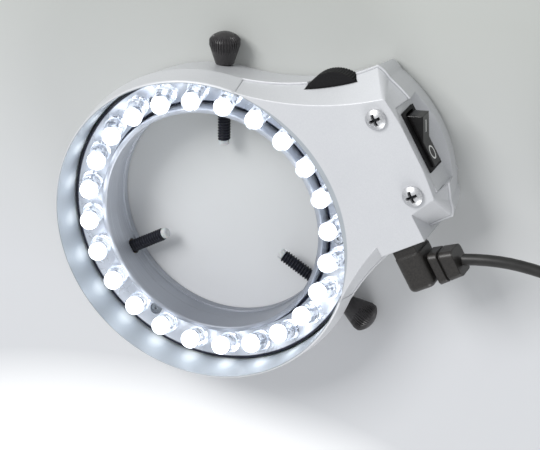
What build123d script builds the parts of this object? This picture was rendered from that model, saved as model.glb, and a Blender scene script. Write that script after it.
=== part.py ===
from build123d import *
from math import cos, pi, radians, sin, sqrt, tan
import os

os.makedirs("parts", exist_ok=True)

# The part is a ring light that clamps round a microscope's lens barrel.
# The origin is on the axis of the lens bore, in the plane of the flat back.
# Plus Z is the way the lamps shine, plus X runs from the ring to the control box.
# All lengths are in millimetres and all angles in degrees.

# Ring housing
BORE_R = 30.5
COLLAR_WALL = 1.4
COLLAR_TOP = 13.2
RELIEF_DEPTH = 0.4
RELIEF_LOW = 2.0
RELIEF_HIGH = 6.5
RING_WIDTH = 12.5
CREASE_R = BORE_R + RING_WIDTH
CREASE_Z = 14.2
FACE_Z = 21.2
RIM_OUTER_R = CREASE_R - 1.0
RIM_DROP = 0.4
OPENING_R = CREASE_R - 1.6
SKIRT_R = OPENING_R - 0.4
FLOOR = 2.0
WALL = 2.0
LOW_INSET = 1.7
LOW_Z = 3.7
FOOT_INSET = 2.2
FOOT_Z = 1.0
BACK_INSET = 3.2
LEDGE_Z = 7.0
LEDGE_R = SKIRT_R - 1.7

# Lamp ring
BOARD_THICK = 1.2
BOARD_IN_R = BORE_R + 2.5
BOARD_OUT_R = SKIRT_R - 0.4
CONE_IN_R = BORE_R + 1.7
CONE_IN_Z = 8.95
CONE_OUT_R = SKIRT_R - 0.6
CONE_SLOPE = 17.0
CONE_THICK = 1.0
LED_COUNT = 24
LED_SEAT_R = (CONE_IN_R + CONE_OUT_R) / 2 + 0.1
LED_FLANGE_R = 2.9
LED_FLANGE_H = 1.0
LED_BODY_R = 2.5
LED_HEIGHT = 8.6
LED_LIFT = 0.05
LED_LEG_R = 0.3
LED_LEG_GAP = 2.54
LED_HOLE_R = 2.0
CARRIER_SCREW_R = CONE_IN_R + 2.8
CARRIER_SCREW_ANGLES = (90, -30, -150)
PILLAR_R = 2.6
SCREW_HEAD_R = 1.5
SCREW_HEAD_H = 0.9
SCREW_SHANK_R = 1.0
SCREW_WELL_R = 1.6
SCREW_WELL_Z = 8.7

# Thumbscrews
THUMB_ANGLES = (60, -60, 180)
THUMB_Z = 4.2
THREAD_R = 1.75
THREAD_END_R = BORE_R - 10.0
TIP_END_R = THREAD_END_R - 1.5
TIP_R = 1.4
SPIGOT_R = 0.8
SPIGOT_LENGTH = 2.5
RUN_GAP = 0.05
HOLE_GAP = 0.4
KNOB_BASE_R = 2.6
KNOB_R = 4.1
KNOB_NEAR = CREASE_R - LOW_INSET + 0.5
KNOB_WIDE = KNOB_NEAR + 6.2
KNOB_DOME = 2.0
BLOCK_WIDTH = 8.0
BLOCK_FAR = LEDGE_R - 1.3
BUSH_R = 2.5

# Control box outline, at the crease and at the flat face
CREASE_START_ANGLE = 51.8
CREASE_MID = (CREASE_R + 2.0, 24.6)
CREASE_CORNER = (CREASE_R + 22.0, 21.6)
CREASE_END_CORNER = (CREASE_R + 23.6, 17.6)
CREASE_END = CREASE_R + 27.4
FACE_START_ANGLE = 51.1
FACE_MID = (CREASE_R + 3.2, 20.0)
FACE_CORNER = (CREASE_R + 22.0, 14.25)
FACE_END_CORNER = (CREASE_R + 22.8, 13.6)
FACE_END = CREASE_R + 23.7
COVER_EDGE_R = OPENING_R + 4.4
COVER_EDGE_X = -5.6
COVER_LIP = 0.5
COVER_THICK = 1.8
RIM_CUT_X = CREASE_R - 14.0
INNER_CLOSE_X = 18.0
INNER_CLOSE_Y = 22.0

# Switch end
PANEL_X = CREASE_R + 23.6
PANEL_THICK = 1.8
PANEL_LOW_Y = -13.0
PANEL_HIGH_Y = 10.5
PANEL_FOOT_Z = 9.6
LEDGE_RUN = 3.4
LEDGE_FALL = 4.9
SWITCH_Y = 0.2
SWITCH_Z = 14.35
SWITCH_WIDTH = 16.6
SWITCH_HEIGHT = 8.1
BEZEL_THICK = 0.5
BEZEL_LAP = 0.35
SWITCH_DEPTH = 10.6
SWITCH_WALL = 0.4
ROCKER_GAP = 0.15
ROCKER_HEIGHT = 4.8
ROCKER_PIVOT_X = PANEL_X - 1.6
ROCKER_FACE = 3.0
ROCKER_HALF_SWING = 13.3
ROCKER_TAIL = 2.6
ROCKER_PIN_R = 0.8
ROCKER_PIN_LENGTH = 0.35

# Dimmer
WHEEL_X = CREASE_R + 7.4
WHEEL_Y = 16.6
WHEEL_R = 8.6
WHEEL_LOW_Z = 11.6
WHEEL_THICK = 4.0
WHEEL_TEETH = 72
WHEEL_TOOTH = 0.24
SLOT_LOW_X = WHEEL_X - 5.2
SLOT_HIGH_X = WHEEL_X + 8.1
SLOT_GAP = 0.4
SHAFT_R = 1.5
POT_LENGTH = 9.0
POT_WIDTH = 6.4
POT_GAP = 0.3
POT_BACK = 1.5

# Socket, plug and boot
SOCKET_X = CREASE_R + 8.3
SOCKET_LOW_X = SOCKET_X - 6.0
SOCKET_HIGH_X = SOCKET_X + 6.9
SOCKET_WALL_Y = -23.3
SOCKET_Z = 16.1
SOCKET_BODY_X = 8.2
SOCKET_BODY_Z = 6.4
SOCKET_BODY_Y = 13.0
BARREL_R = 2.75
BARREL_BORE_R = 1.2
BARREL_LENGTH = 9.5
JACK_R = 2.9
JACK_PIN_R = 1.0
PLUG_WIDTH = 7.4
PLUG_LOW_Z = 11.2
PLUG_HIGH_Z = 21.0
PLUG_FAR_Y = -35.5
BOOT_FAR_X = SOCKET_X + 11.1
BOOT_Y = -31.7
BOOT_END_Y = -32.3
BOOT_WIDTH = 7.4
BOOT_HEIGHT = 9.0
BOOT_END_HEIGHT = 7.2
BOOT_GROOVES = (SOCKET_X + 3.9, SOCKET_X + 6.9)
PLUG_NECK = 2.4
PLUG_ROUND = 1.8
PLUG_END_ROUND = 1.6

# Cover screws and driver board
COVER_SCREWS = ((PANEL_X - 5.2, 10.3), (PANEL_X - 5.6, -11.3))
COVER_HEAD_R = 2.7
COVER_HEAD_H = 1.8
COVER_SHANK_R = 1.5
COVER_SHANK_LENGTH = 9.0
BOSS_R = 2.3
PCB_Z = 3.6
PCB_THICK = 1.6
PCB_LOW = (CREASE_R + 3.3, -14.5)
PCB_HIGH = (PANEL_X - 3.2, 18.0)
PCB_CORNER = (CREASE_R + 11.0, 11.6)
PCB_STANDOFF_R = 2.0
PCB_STANDOFFS = (
    (CREASE_R + 5.6, -11.0),
    (CREASE_R + 5.0, 8.6),
    (CREASE_R + 16.2, 13.6),
)
COIL_R = 3.2
COIL_H = 4.4
CAPACITOR_R = 2.6
CAPACITOR_H = 5.6
WIRE_R = 0.6
WIRE_Y = 1.5
WIRE_NOTCH = 5.0

# Power cord
CORD_D = 3.0
CORD_ROUTE = (
    (BOOT_FAR_X + 0.58, -32.52, 15.97),
    (BOOT_FAR_X + 7.0, -34.99, 15.6),
    (BOOT_FAR_X + 15.4, -41.0, 14.1),
    (BOOT_FAR_X + 25.2, -50.35, 13.1),
    (BOOT_FAR_X + 31.33, -55.49, 13.1),
)
COIL_X = BOOT_FAR_X + 48.0
COIL_Y = -40.3
COIL_START = 230.0
COIL_END = 13.361
COIL_LAYERS = 4
COIL_TURNS = 3
COIL_CLIMB = 0.5
COIL_MEAN_R = 16.5
COIL_PITCH = 3.9
COIL_LAYER = 3.6
COIL_LOW_Z = 2.3
COIL_STUB = 3.0
TAIL_RUN = 16.0
USB_WIDTH = 16.0
USB_HEIGHT = 8.0
USB_LENGTH = 22.0
USB_NECK = 6.0
USB_SHELL_WIDTH = 12.0
USB_SHELL_HEIGHT = 4.5
USB_SHELL_LENGTH = 12.0
TIE_WIDTH = 6.0
TIE_THICK = 0.6
TIE_ANGLE = 60.0

# Heights and radii worked out from the sizes above
COLLAR_R = BORE_R + COLLAR_WALL
BOARD_TOP = LEDGE_Z + BOARD_THICK
CONE_RISE = tan(radians(CONE_SLOPE))
PANEL_TOP = FACE_Z - COVER_THICK
PCB_TOP = PCB_Z + PCB_THICK
KNOB_FAR = KNOB_WIDE + 0.4 + KNOB_DOME
KNOB_DOME_R = (KNOB_R**2 + KNOB_DOME**2) / (2 * KNOB_DOME)
SWITCH_BODY_WIDTH = SWITCH_WIDTH - 2 * BEZEL_LAP
SWITCH_BODY_HEIGHT = SWITCH_HEIGHT - 2 * BEZEL_LAP
CORD_R = CORD_D / 2


def cone_z(radius):
    """Height of the lamp carrier's upper surface at a distance from the bore's axis."""
    return CONE_IN_Z + (radius - CONE_IN_R) * CONE_RISE


def polar(radius, angle, height=0.0):
    """A point given by its distance and direction from the bore's axis."""
    return (radius * cos(radians(angle)), radius * sin(radians(angle)), height)


def inset_point(point, inset):
    """Moves an outline point towards the box's middle line by the inset."""
    return (point[0] - inset * point[0] / 100, point[1] - inset)


def box_outline(start, mid, corner, end_corner, end_x, inset):
    """Plan of the control box: two bowed sides, two round corners and a bowed end."""
    first = inset_point(start, inset)
    middle = inset_point(mid, inset)
    turn = inset_point(corner, inset)
    end_turn = (end_corner[0] - inset, end_corner[1] - inset * 0.6)
    bend = (
        turn[0] + (end_turn[0] - turn[0]) * 0.62,
        end_turn[1] + (turn[1] - end_turn[1]) * 0.62,
    )
    with BuildLine() as half:
        Line((INNER_CLOSE_X, 0), (INNER_CLOSE_X, INNER_CLOSE_Y))
        Line((INNER_CLOSE_X, INNER_CLOSE_Y), first)
        ThreePointArc(first, middle, turn)
        ThreePointArc(turn, bend, end_turn)
    with BuildLine() as whole:
        add(half.line)
        mirror(half.line, about=Plane.XZ)
        ThreePointArc(end_turn, (end_x - inset, 0), (end_turn[0], -end_turn[1]))
    return whole.line


def crease_outline(inset):
    """The box outline at the crease, or a level below it."""
    start = polar(CREASE_R - 0.13, CREASE_START_ANGLE)[:2]
    return box_outline(start, CREASE_MID, CREASE_CORNER, CREASE_END_CORNER, CREASE_END, inset)


def face_outline(inset):
    """The box outline at the flat face."""
    start = polar(RIM_OUTER_R - 0.25, FACE_START_ANGLE)[:2]
    return box_outline(start, FACE_MID, FACE_CORNER, FACE_END_CORNER, FACE_END, inset)


def block(low, high, mode=Mode.ADD):
    """Adds or cuts a box given by its lowest and highest corners."""
    middle = tuple((a + b) / 2 for a, b in zip(low, high))
    with Locations(middle):
        Box(high[0] - low[0], high[1] - low[1], high[2] - low[2], mode=mode)


def post(x, y, z, radius, height, mode=Mode.ADD):
    """Adds or cuts an upright cylinder that starts at height z."""
    with Locations((x, y, z + height / 2)):
        Cylinder(radius, height, mode=mode)


def across(x, y, z, radius, length, mode=Mode.ADD):
    """Adds or cuts a cylinder along Y that starts at y and runs towards plus Y."""
    with Locations((x, y + length / 2, z)):
        Cylinder(radius, length, rotation=(90, 0, 0), mode=mode)


def outline_solid(levels):
    """Lofts straight walls between box outlines, given as pairs of height and outline."""
    sections = []
    for height, outline in levels:
        with BuildSketch(Plane.XY.offset(height)) as level:
            with BuildLine():
                add(outline)
            make_face()
        sections.append(level.sketch)
    loft(sections, ruled=True)


def save(piece, name):
    """Labels a finished piece and writes its file."""
    piece.label = name
    export_step(piece, f"parts/{name}.step")


# Shapes that more than one piece is cut by

# The recess at the switch end, with its sloping ledge
with BuildPart() as switch_recess:
    with BuildSketch(Plane.XZ.offset(-PANEL_HIGH_Y)):
        with BuildLine():
            Polyline(
                (PANEL_X, FACE_Z + 5),
                (PANEL_X, PANEL_FOOT_Z),
                (PANEL_X + 2 * LEDGE_RUN, PANEL_FOOT_Z - 2 * LEDGE_FALL),
                (PANEL_X + 4 * LEDGE_RUN, PANEL_FOOT_Z - 2 * LEDGE_FALL),
                (PANEL_X + 4 * LEDGE_RUN, FACE_Z + 5),
                close=True,
            )
        make_face()
    extrude(amount=PANEL_HIGH_Y - PANEL_LOW_Y)

# The front cover's outside, before it is hollowed
with BuildPart() as cover_envelope:
    outline_solid(((CREASE_Z, crease_outline(COVER_LIP)), (FACE_Z, face_outline(0))))
    block((SOCKET_LOW_X, SOCKET_WALL_Y, CREASE_Z), (SOCKET_HIGH_X, -10, FACE_Z))
    block(
        (SOCKET_LOW_X, SOCKET_WALL_Y - 10, CREASE_Z),
        (SOCKET_HIGH_X, SOCKET_WALL_Y, FACE_Z),
        Mode.SUBTRACT,
    )
    post(COVER_EDGE_X, 0, 0, COVER_EDGE_R, FACE_Z + 1, Mode.SUBTRACT)

# The cover's hollow: walls, a top plate, and a flange down to the lamp ring's opening
with BuildPart() as cover_hollow:
    outline_solid(
        (
            (CREASE_Z - 1, crease_outline(COVER_LIP + COVER_THICK)),
            (FACE_Z, face_outline(COVER_THICK)),
        )
    )
    block(
        (SOCKET_LOW_X + COVER_THICK, SOCKET_WALL_Y + COVER_THICK, CREASE_Z - 1),
        (SOCKET_HIGH_X - COVER_THICK, -10, FACE_Z),
    )
    block(
        (SOCKET_LOW_X - 5, SOCKET_WALL_Y - 10, CREASE_Z - 1),
        (SOCKET_HIGH_X, SOCKET_WALL_Y + COVER_THICK, FACE_Z),
        Mode.SUBTRACT,
    )
    block((0, -60, PANEL_TOP), (90, 60, FACE_Z + 1), Mode.SUBTRACT)
    post(COVER_EDGE_X, 0, 0, COVER_EDGE_R + COVER_THICK, FACE_Z + 1, Mode.SUBTRACT)

# The tray's hollow, clear of the ring's wall, the socket's wall and the switch panel
with BuildPart() as tray_hollow:
    outline_solid(
        (
            (FLOOR, crease_outline(FOOT_INSET + WALL)),
            (CREASE_Z, crease_outline(WALL)),
        )
    )
    post(0, 0, 0, CREASE_R, FACE_Z, Mode.SUBTRACT)
    block(
        (SOCKET_LOW_X - WALL, -40, 0),
        (SOCKET_HIGH_X + WALL, SOCKET_WALL_Y + WALL, FACE_Z),
        Mode.SUBTRACT,
    )
    block(
        (
            SOCKET_X - SOCKET_BODY_X / 2 - 0.1,
            SOCKET_WALL_Y + WALL,
            SOCKET_Z - SOCKET_BODY_Z / 2 - 0.1,
        ),
        (SOCKET_X + SOCKET_BODY_X / 2 + 0.1, -10, CREASE_Z),
    )
    block(
        (PANEL_X - PANEL_THICK, PANEL_LOW_Y - WALL, 0),
        (CREASE_END + 5, PANEL_HIGH_Y + WALL, FACE_Z),
        Mode.SUBTRACT,
    )

# The radial holes that the thumbscrews run through, wide enough for the thread
with BuildPart() as thumb_holes:
    for angle in THUMB_ANGLES:
        radial = Plane(origin=polar(BORE_R - 2, angle, THUMB_Z), z_dir=polar(1, angle))
        with BuildSketch(radial):
            Circle(THREAD_R + HOLE_GAP)
        extrude(amount=CREASE_R - BORE_R + 3)

# The seats of the brass bushes, from the inner end of each block to its outer end
with BuildPart() as bush_seats:
    for angle in THUMB_ANGLES:
        radial = Plane(origin=polar(COLLAR_R, angle, THUMB_Z), z_dir=polar(1, angle))
        with BuildSketch(radial):
            Circle(BUSH_R)
        extrude(amount=BLOCK_FAR - COLLAR_R + 0.5)

# Back housing: the ring's outer wall and floor, and the tray of the control box
with BuildPart() as back_housing:
    with BuildSketch(Plane.XZ):
        with BuildLine():
            Polyline(
                (COLLAR_R, 0),
                (CREASE_R - BACK_INSET, 0),
                (CREASE_R - FOOT_INSET, FOOT_Z),
                (CREASE_R - LOW_INSET, LOW_Z),
                (CREASE_R, CREASE_Z),
                (RIM_OUTER_R, FACE_Z - RIM_DROP),
                (OPENING_R + 0.1, FACE_Z),
                (COLLAR_R, FACE_Z),
                close=True,
            )
        make_face()
    revolve(axis=Axis.Z)
    outline_solid(((0, crease_outline(BACK_INSET)), (FOOT_Z, crease_outline(FOOT_INSET))))
    outline_solid(((FOOT_Z, crease_outline(FOOT_INSET)), (LOW_Z, crease_outline(LOW_INSET))))
    outline_solid(((LOW_Z, crease_outline(LOW_INSET)), (CREASE_Z, crease_outline(0))))
    block((SOCKET_LOW_X, SOCKET_WALL_Y, FOOT_Z), (SOCKET_HIGH_X, -15, CREASE_Z))
    block(
        (SOCKET_LOW_X, SOCKET_WALL_Y - 10, LOW_Z),
        (SOCKET_HIGH_X, SOCKET_WALL_Y, FACE_Z),
        Mode.SUBTRACT,
    )
    add(tray_hollow.part, mode=Mode.SUBTRACT)
    post(0, 0, 0, COLLAR_R, FACE_Z + 1, Mode.SUBTRACT)
    with BuildSketch(Plane.XZ):
        with BuildLine():
            Polyline(
                (COLLAR_R - 1, FLOOR),
                (LEDGE_R, FLOOR),
                (LEDGE_R, LEDGE_Z),
                (SKIRT_R, LEDGE_Z),
                (SKIRT_R, CONE_IN_Z + 3),
                (OPENING_R, FACE_Z + 1),
                (COLLAR_R - 1, FACE_Z + 1),
                close=True,
            )
        make_face()
    revolve(axis=Axis.Z, mode=Mode.SUBTRACT)
    block((RIM_CUT_X, -60, CREASE_Z), (CREASE_END + 5, 60, FACE_Z + 1), Mode.SUBTRACT)
    add(cover_envelope.part, mode=Mode.SUBTRACT)
    # the panel that the switch is set in stands up inside the cover
    block(
        (PANEL_X - PANEL_THICK, PANEL_LOW_Y, FLOOR),
        (PANEL_X, PANEL_HIGH_Y, PANEL_TOP),
    )
    add(switch_recess.part, mode=Mode.SUBTRACT)
    # blocks for the thumbscrew bushes, and pillars under the lamp board
    for angle in THUMB_ANGLES:
        with BuildSketch(Plane.XY.offset(FLOOR)):
            with Locations(Rot(0, 0, angle) * Pos((COLLAR_R + BLOCK_FAR) / 2, 0)):
                Rectangle(BLOCK_FAR - COLLAR_R + 1.2, BLOCK_WIDTH)
            Circle(COLLAR_R, mode=Mode.SUBTRACT)
        extrude(amount=LEDGE_Z - FLOOR)
    for angle in CARRIER_SCREW_ANGLES:
        x, y, _ = polar(CARRIER_SCREW_R, angle)
        post(x, y, FLOOR, PILLAR_R, LEDGE_Z - FLOOR)
        post(x, y, FLOOR, SCREW_SHANK_R, LEDGE_Z - FLOOR, Mode.SUBTRACT)
    add(thumb_holes.part, mode=Mode.SUBTRACT)
    add(bush_seats.part, mode=Mode.SUBTRACT)
    # bosses for the cover screws and standoffs for the driver board
    for x, y in COVER_SCREWS:
        post(x, y, FLOOR, BOSS_R, PANEL_TOP - FLOOR)
        post(x, y, PANEL_TOP + COVER_THICK - COVER_SHANK_LENGTH, COVER_SHANK_R, 20, Mode.SUBTRACT)
    for x, y in PCB_STANDOFFS:
        post(x, y, FLOOR, PCB_STANDOFF_R, PCB_Z - FLOOR)
    # openings for the dimmer wheel, the lamp wires, the plug and the switch
    block(
        (SLOT_LOW_X, WHEEL_Y, WHEEL_LOW_Z - SLOT_GAP),
        (SLOT_HIGH_X, WHEEL_Y + 20, CREASE_Z + 1),
        Mode.SUBTRACT,
    )
    post(
        WHEEL_X,
        WHEEL_Y,
        WHEEL_LOW_Z - SLOT_GAP,
        WHEEL_R + SLOT_GAP,
        WHEEL_THICK + 2 * SLOT_GAP,
        Mode.SUBTRACT,
    )
    block(
        (SKIRT_R - 3, -WIRE_NOTCH / 2, BOARD_TOP - 0.2),
        (CREASE_R + 1, WIRE_NOTCH / 2, BOARD_TOP + 2 * WIRE_R + 0.3),
        Mode.SUBTRACT,
    )
    block(
        (
            PANEL_X - SWITCH_DEPTH - 0.5,
            SWITCH_Y - SWITCH_BODY_WIDTH / 2,
            SWITCH_Z - SWITCH_BODY_HEIGHT / 2,
        ),
        (PANEL_X + 1, SWITCH_Y + SWITCH_BODY_WIDTH / 2, SWITCH_Z + SWITCH_BODY_HEIGHT / 2),
        Mode.SUBTRACT,
    )
    across(SOCKET_X, SOCKET_WALL_Y - 1, SOCKET_Z, JACK_R, WALL + 2, Mode.SUBTRACT)
save(back_housing.part, "back_housing")

# Front cover: the box's flat face and sloping sides, in one moulding
with BuildPart() as front_cover:
    add(cover_envelope.part)
    add(cover_hollow.part, mode=Mode.SUBTRACT)
    block(
        (PANEL_X - PANEL_THICK - 0.1, PANEL_LOW_Y - 0.1, CREASE_Z - 1),
        (CREASE_END + 5, PANEL_HIGH_Y + 0.1, PANEL_TOP),
        Mode.SUBTRACT,
    )
    add(switch_recess.part, mode=Mode.SUBTRACT)
    block(
        (SLOT_LOW_X, WHEEL_Y, CREASE_Z - 1),
        (SLOT_HIGH_X, WHEEL_Y + 20, WHEEL_LOW_Z + WHEEL_THICK + SLOT_GAP),
        Mode.SUBTRACT,
    )
    post(
        WHEEL_X,
        WHEEL_Y,
        WHEEL_LOW_Z - SLOT_GAP,
        WHEEL_R + SLOT_GAP,
        WHEEL_THICK + 2 * SLOT_GAP,
        Mode.SUBTRACT,
    )
    for x, y in COVER_SCREWS:
        post(x, y, PANEL_TOP - 1, COVER_SHANK_R, COVER_THICK + 2, Mode.SUBTRACT)
    across(SOCKET_X, SOCKET_WALL_Y - 1, SOCKET_Z, JACK_R, COVER_THICK + 2, Mode.SUBTRACT)
save(front_cover.part, "front_cover")

# Lens collar: the turned sleeve that slips over the microscope's lens barrel
with BuildPart() as lens_collar:
    with BuildSketch(Plane.XZ):
        with BuildLine():
            Polyline(
                (BORE_R, 0),
                (COLLAR_R, 0),
                (COLLAR_R, COLLAR_TOP - 0.3),
                (COLLAR_R - 0.3, COLLAR_TOP),
                (BORE_R + 0.3, COLLAR_TOP),
                (BORE_R, COLLAR_TOP - 0.3),
                (BORE_R, RELIEF_HIGH),
                (BORE_R + RELIEF_DEPTH, RELIEF_HIGH),
                (BORE_R + RELIEF_DEPTH, RELIEF_LOW),
                (BORE_R, RELIEF_LOW),
                close=True,
            )
        make_face()
    revolve(axis=Axis.Z)
    add(thumb_holes.part, mode=Mode.SUBTRACT)
save(lens_collar.part, "lens_collar")

# Where the lamps stand: evenly spaced round the bore and square to the cone
led_seats = []
for number in range(LED_COUNT):
    angle = (number + 0.5) * 360 / LED_COUNT
    foot = Pos(*polar(LED_SEAT_R, angle, cone_z(LED_SEAT_R)))
    led_seats.append(foot * Rot(0, 0, angle) * Rot(0, -CONE_SLOPE, 0))

# Lamp carrier: the silvered cone that the lamps stand on, with three screw wells
with BuildPart() as led_carrier:
    with BuildSketch(Plane.XZ):
        with BuildLine():
            Polyline(
                (CONE_IN_R, CONE_IN_Z),
                (CONE_OUT_R, cone_z(CONE_OUT_R)),
                (CONE_OUT_R, cone_z(CONE_OUT_R) - CONE_THICK),
                (CONE_IN_R, CONE_IN_Z - CONE_THICK),
                close=True,
            )
        make_face()
    revolve(axis=Axis.Z)
    with Locations(*led_seats):
        Cylinder(LED_HOLE_R, 4 * CONE_THICK, mode=Mode.SUBTRACT)
    for angle in CARRIER_SCREW_ANGLES:
        x, y, _ = polar(CARRIER_SCREW_R, angle)
        post(x, y, BOARD_TOP, PILLAR_R, cone_z(CARRIER_SCREW_R - PILLAR_R) - BOARD_TOP)
        post(x, y, BOARD_TOP - 1, SCREW_SHANK_R + 0.1, FACE_Z - BOARD_TOP, Mode.SUBTRACT)
        post(x, y, SCREW_WELL_Z, SCREW_WELL_R, FACE_Z - SCREW_WELL_Z, Mode.SUBTRACT)
save(led_carrier.part, "led_carrier")

# Lamp circuit board: a flat ring that the lamps' legs are soldered to
with BuildPart() as led_board:
    with BuildSketch(Plane.XY.offset(LEDGE_Z)):
        Circle(BOARD_OUT_R)
        Circle(BOARD_IN_R, mode=Mode.SUBTRACT)
        for angle in CARRIER_SCREW_ANGLES:
            with Locations(polar(CARRIER_SCREW_R, angle)):
                Circle(SCREW_SHANK_R + 0.1, mode=Mode.SUBTRACT)
    extrude(amount=BOARD_THICK)
save(led_board.part, "led_board")

# One lamp: a clear 5 mm dome with a flange and two legs, standing on its own base
with BuildPart() as led:
    with BuildSketch(Plane.XZ):
        with BuildLine():
            Polyline(
                (0, LED_HEIGHT),
                (0, 0),
                (LED_FLANGE_R, 0),
                (LED_FLANGE_R, LED_FLANGE_H),
                (LED_BODY_R, LED_FLANGE_H),
                (LED_BODY_R, LED_HEIGHT - LED_BODY_R),
            )
            RadiusArc(
                (LED_BODY_R, LED_HEIGHT - LED_BODY_R), (0, LED_HEIGHT), -LED_BODY_R
            )
        make_face()
    revolve(axis=Axis.Z)
    leg = (cone_z(LED_SEAT_R) - BOARD_TOP) / cos(radians(CONE_SLOPE)) - 0.1
    for side in (-1, 1):
        post(0, side * LED_LEG_GAP / 2, -leg, LED_LEG_R, leg)

# The lamps, one on each seat
for number, seat in enumerate(led_seats, start=1):
    save(seat * Pos(0, 0, LED_LIFT) * led.part, f"led_{number:02d}")

# Screws that hold the lamp carrier and its board to the pillars
with BuildPart() as carrier_screws:
    for angle in CARRIER_SCREW_ANGLES:
        x, y, _ = polar(CARRIER_SCREW_R, angle)
        post(x, y, SCREW_WELL_Z, SCREW_HEAD_R, SCREW_HEAD_H)
        post(x, y, SCREW_WELL_Z - 5, SCREW_SHANK_R, 5)
        post(x, y, SCREW_WELL_Z + SCREW_HEAD_H - 0.5, 0.5, 1, Mode.SUBTRACT)
save(carrier_screws.part, "carrier_screws")

# Brass bushes that the thumbscrews are threaded through
with BuildPart() as thumb_bushes:
    for angle in THUMB_ANGLES:
        radial = Plane(origin=polar(COLLAR_R + 0.1, angle, THUMB_Z), z_dir=polar(1, angle))
        with BuildSketch(radial):
            Circle(BUSH_R)
            Circle(THREAD_R + RUN_GAP, mode=Mode.SUBTRACT)
        extrude(amount=BLOCK_FAR - COLLAR_R)
    post(0, 0, 0, COLLAR_R, FACE_Z, Mode.SUBTRACT)
save(thumb_bushes.part, "thumb_bushes")

# Thumbscrews: a ribbed knob on a threaded shank, with a nylon tip that spares the lens barrel
for number, angle in enumerate(THUMB_ANGLES, start=1):
    axis_plane = Plane(
        origin=(0, 0, THUMB_Z), x_dir=polar(1, angle), z_dir=polar(1, angle - 90)
    )
    axis_line = Axis((0, 0, THUMB_Z), polar(1, angle))
    with BuildPart() as nylon_tip:
        with BuildSketch(axis_plane):
            with BuildLine():
                Polyline(
                    (TIP_END_R, 0),
                    (TIP_END_R, TIP_R - 0.3),
                    (TIP_END_R + 0.3, TIP_R),
                    (THREAD_END_R - RUN_GAP, TIP_R),
                    (THREAD_END_R - RUN_GAP, SPIGOT_R),
                    (THREAD_END_R + SPIGOT_LENGTH, SPIGOT_R),
                    (THREAD_END_R + SPIGOT_LENGTH, 0),
                    close=True,
                )
            make_face()
        revolve(axis=axis_line)
    save(nylon_tip.part, f"nylon_tip_{number}")
    with BuildPart() as thumb_thread:
        with BuildSketch(axis_plane):
            with BuildLine():
                Polyline(
                    (THREAD_END_R, SPIGOT_R + RUN_GAP),
                    (THREAD_END_R, THREAD_R - 0.3),
                    (THREAD_END_R + 0.3, THREAD_R),
                    (KNOB_WIDE, THREAD_R),
                    (KNOB_WIDE, 0),
                    (THREAD_END_R + SPIGOT_LENGTH + RUN_GAP, 0),
                    (THREAD_END_R + SPIGOT_LENGTH + RUN_GAP, SPIGOT_R + RUN_GAP),
                    close=True,
                )
            make_face()
        revolve(axis=axis_line)
    save(thumb_thread.part, f"thumb_thread_{number}")
    with BuildPart() as thumb_knob:
        with BuildSketch(axis_plane):
            with BuildLine():
                Line((KNOB_NEAR, THREAD_R), (KNOB_NEAR, KNOB_BASE_R))
                Line((KNOB_NEAR, KNOB_BASE_R), (KNOB_WIDE - 1.2, KNOB_R))
                Line((KNOB_WIDE - 1.2, KNOB_R), (KNOB_WIDE + 0.4, KNOB_R))
                RadiusArc((KNOB_WIDE + 0.4, KNOB_R), (KNOB_FAR, 0), KNOB_DOME_R)
                Line((KNOB_FAR, 0), (KNOB_WIDE, 0))
                Line((KNOB_WIDE, 0), (KNOB_WIDE, THREAD_R))
                Line((KNOB_WIDE, THREAD_R), (KNOB_NEAR, THREAD_R))
            make_face()
        revolve(axis=axis_line)
    save(thumb_knob.part, f"thumb_knob_{number}")

# Pan head screws that hold the front cover down on its bosses
with BuildPart() as cover_screws:
    for x, y in COVER_SCREWS:
        with Locations((x, y, FACE_Z)):
            Cone(
                COVER_HEAD_R,
                COVER_HEAD_R - 0.9,
                COVER_HEAD_H,
                align=(Align.CENTER, Align.CENTER, Align.MIN),
            )
        post(x, y, FACE_Z - COVER_SHANK_LENGTH, COVER_SHANK_R, COVER_SHANK_LENGTH)
        cross = FACE_Z + COVER_HEAD_H - 0.9
        block((x - 1.3, y - 0.35, cross), (x + 1.3, y + 0.35, FACE_Z + 3), Mode.SUBTRACT)
        block((x - 0.35, y - 1.3, cross), (x + 0.35, y + 1.3, FACE_Z + 3), Mode.SUBTRACT)
save(cover_screws.part, "cover_screws")

# Switch body: the snap in case with its thin bezel and the pocket that the rocker tips in
ROCKER_LENGTH = SWITCH_WIDTH - 2 * BEZEL_LAP - 2 * SWITCH_WALL
SWITCH_FRONT = PANEL_X + BEZEL_THICK
with BuildPart() as switch_body:
    block(
        (PANEL_X, SWITCH_Y - SWITCH_WIDTH / 2, SWITCH_Z - SWITCH_HEIGHT / 2),
        (SWITCH_FRONT, SWITCH_Y + SWITCH_WIDTH / 2, SWITCH_Z + SWITCH_HEIGHT / 2),
    )
    block(
        (
            PANEL_X - SWITCH_DEPTH,
            SWITCH_Y - SWITCH_BODY_WIDTH / 2,
            SWITCH_Z - SWITCH_BODY_HEIGHT / 2,
        ),
        (PANEL_X, SWITCH_Y + SWITCH_BODY_WIDTH / 2, SWITCH_Z + SWITCH_BODY_HEIGHT / 2),
    )
    block(
        (
            ROCKER_PIVOT_X - ROCKER_TAIL - 1.2,
            SWITCH_Y - ROCKER_LENGTH / 2,
            SWITCH_Z - ROCKER_HEIGHT / 2 - ROCKER_GAP,
        ),
        (
            SWITCH_FRONT + 1,
            SWITCH_Y + ROCKER_LENGTH / 2,
            SWITCH_Z + ROCKER_HEIGHT / 2 + ROCKER_GAP,
        ),
        Mode.SUBTRACT,
    )
    pin_reach = ROCKER_HEIGHT / 2 + ROCKER_GAP + ROCKER_PIN_LENGTH
    post(
        ROCKER_PIVOT_X,
        SWITCH_Y,
        SWITCH_Z - pin_reach,
        ROCKER_PIN_R + RUN_GAP,
        2 * pin_reach,
        Mode.SUBTRACT,
    )
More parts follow.
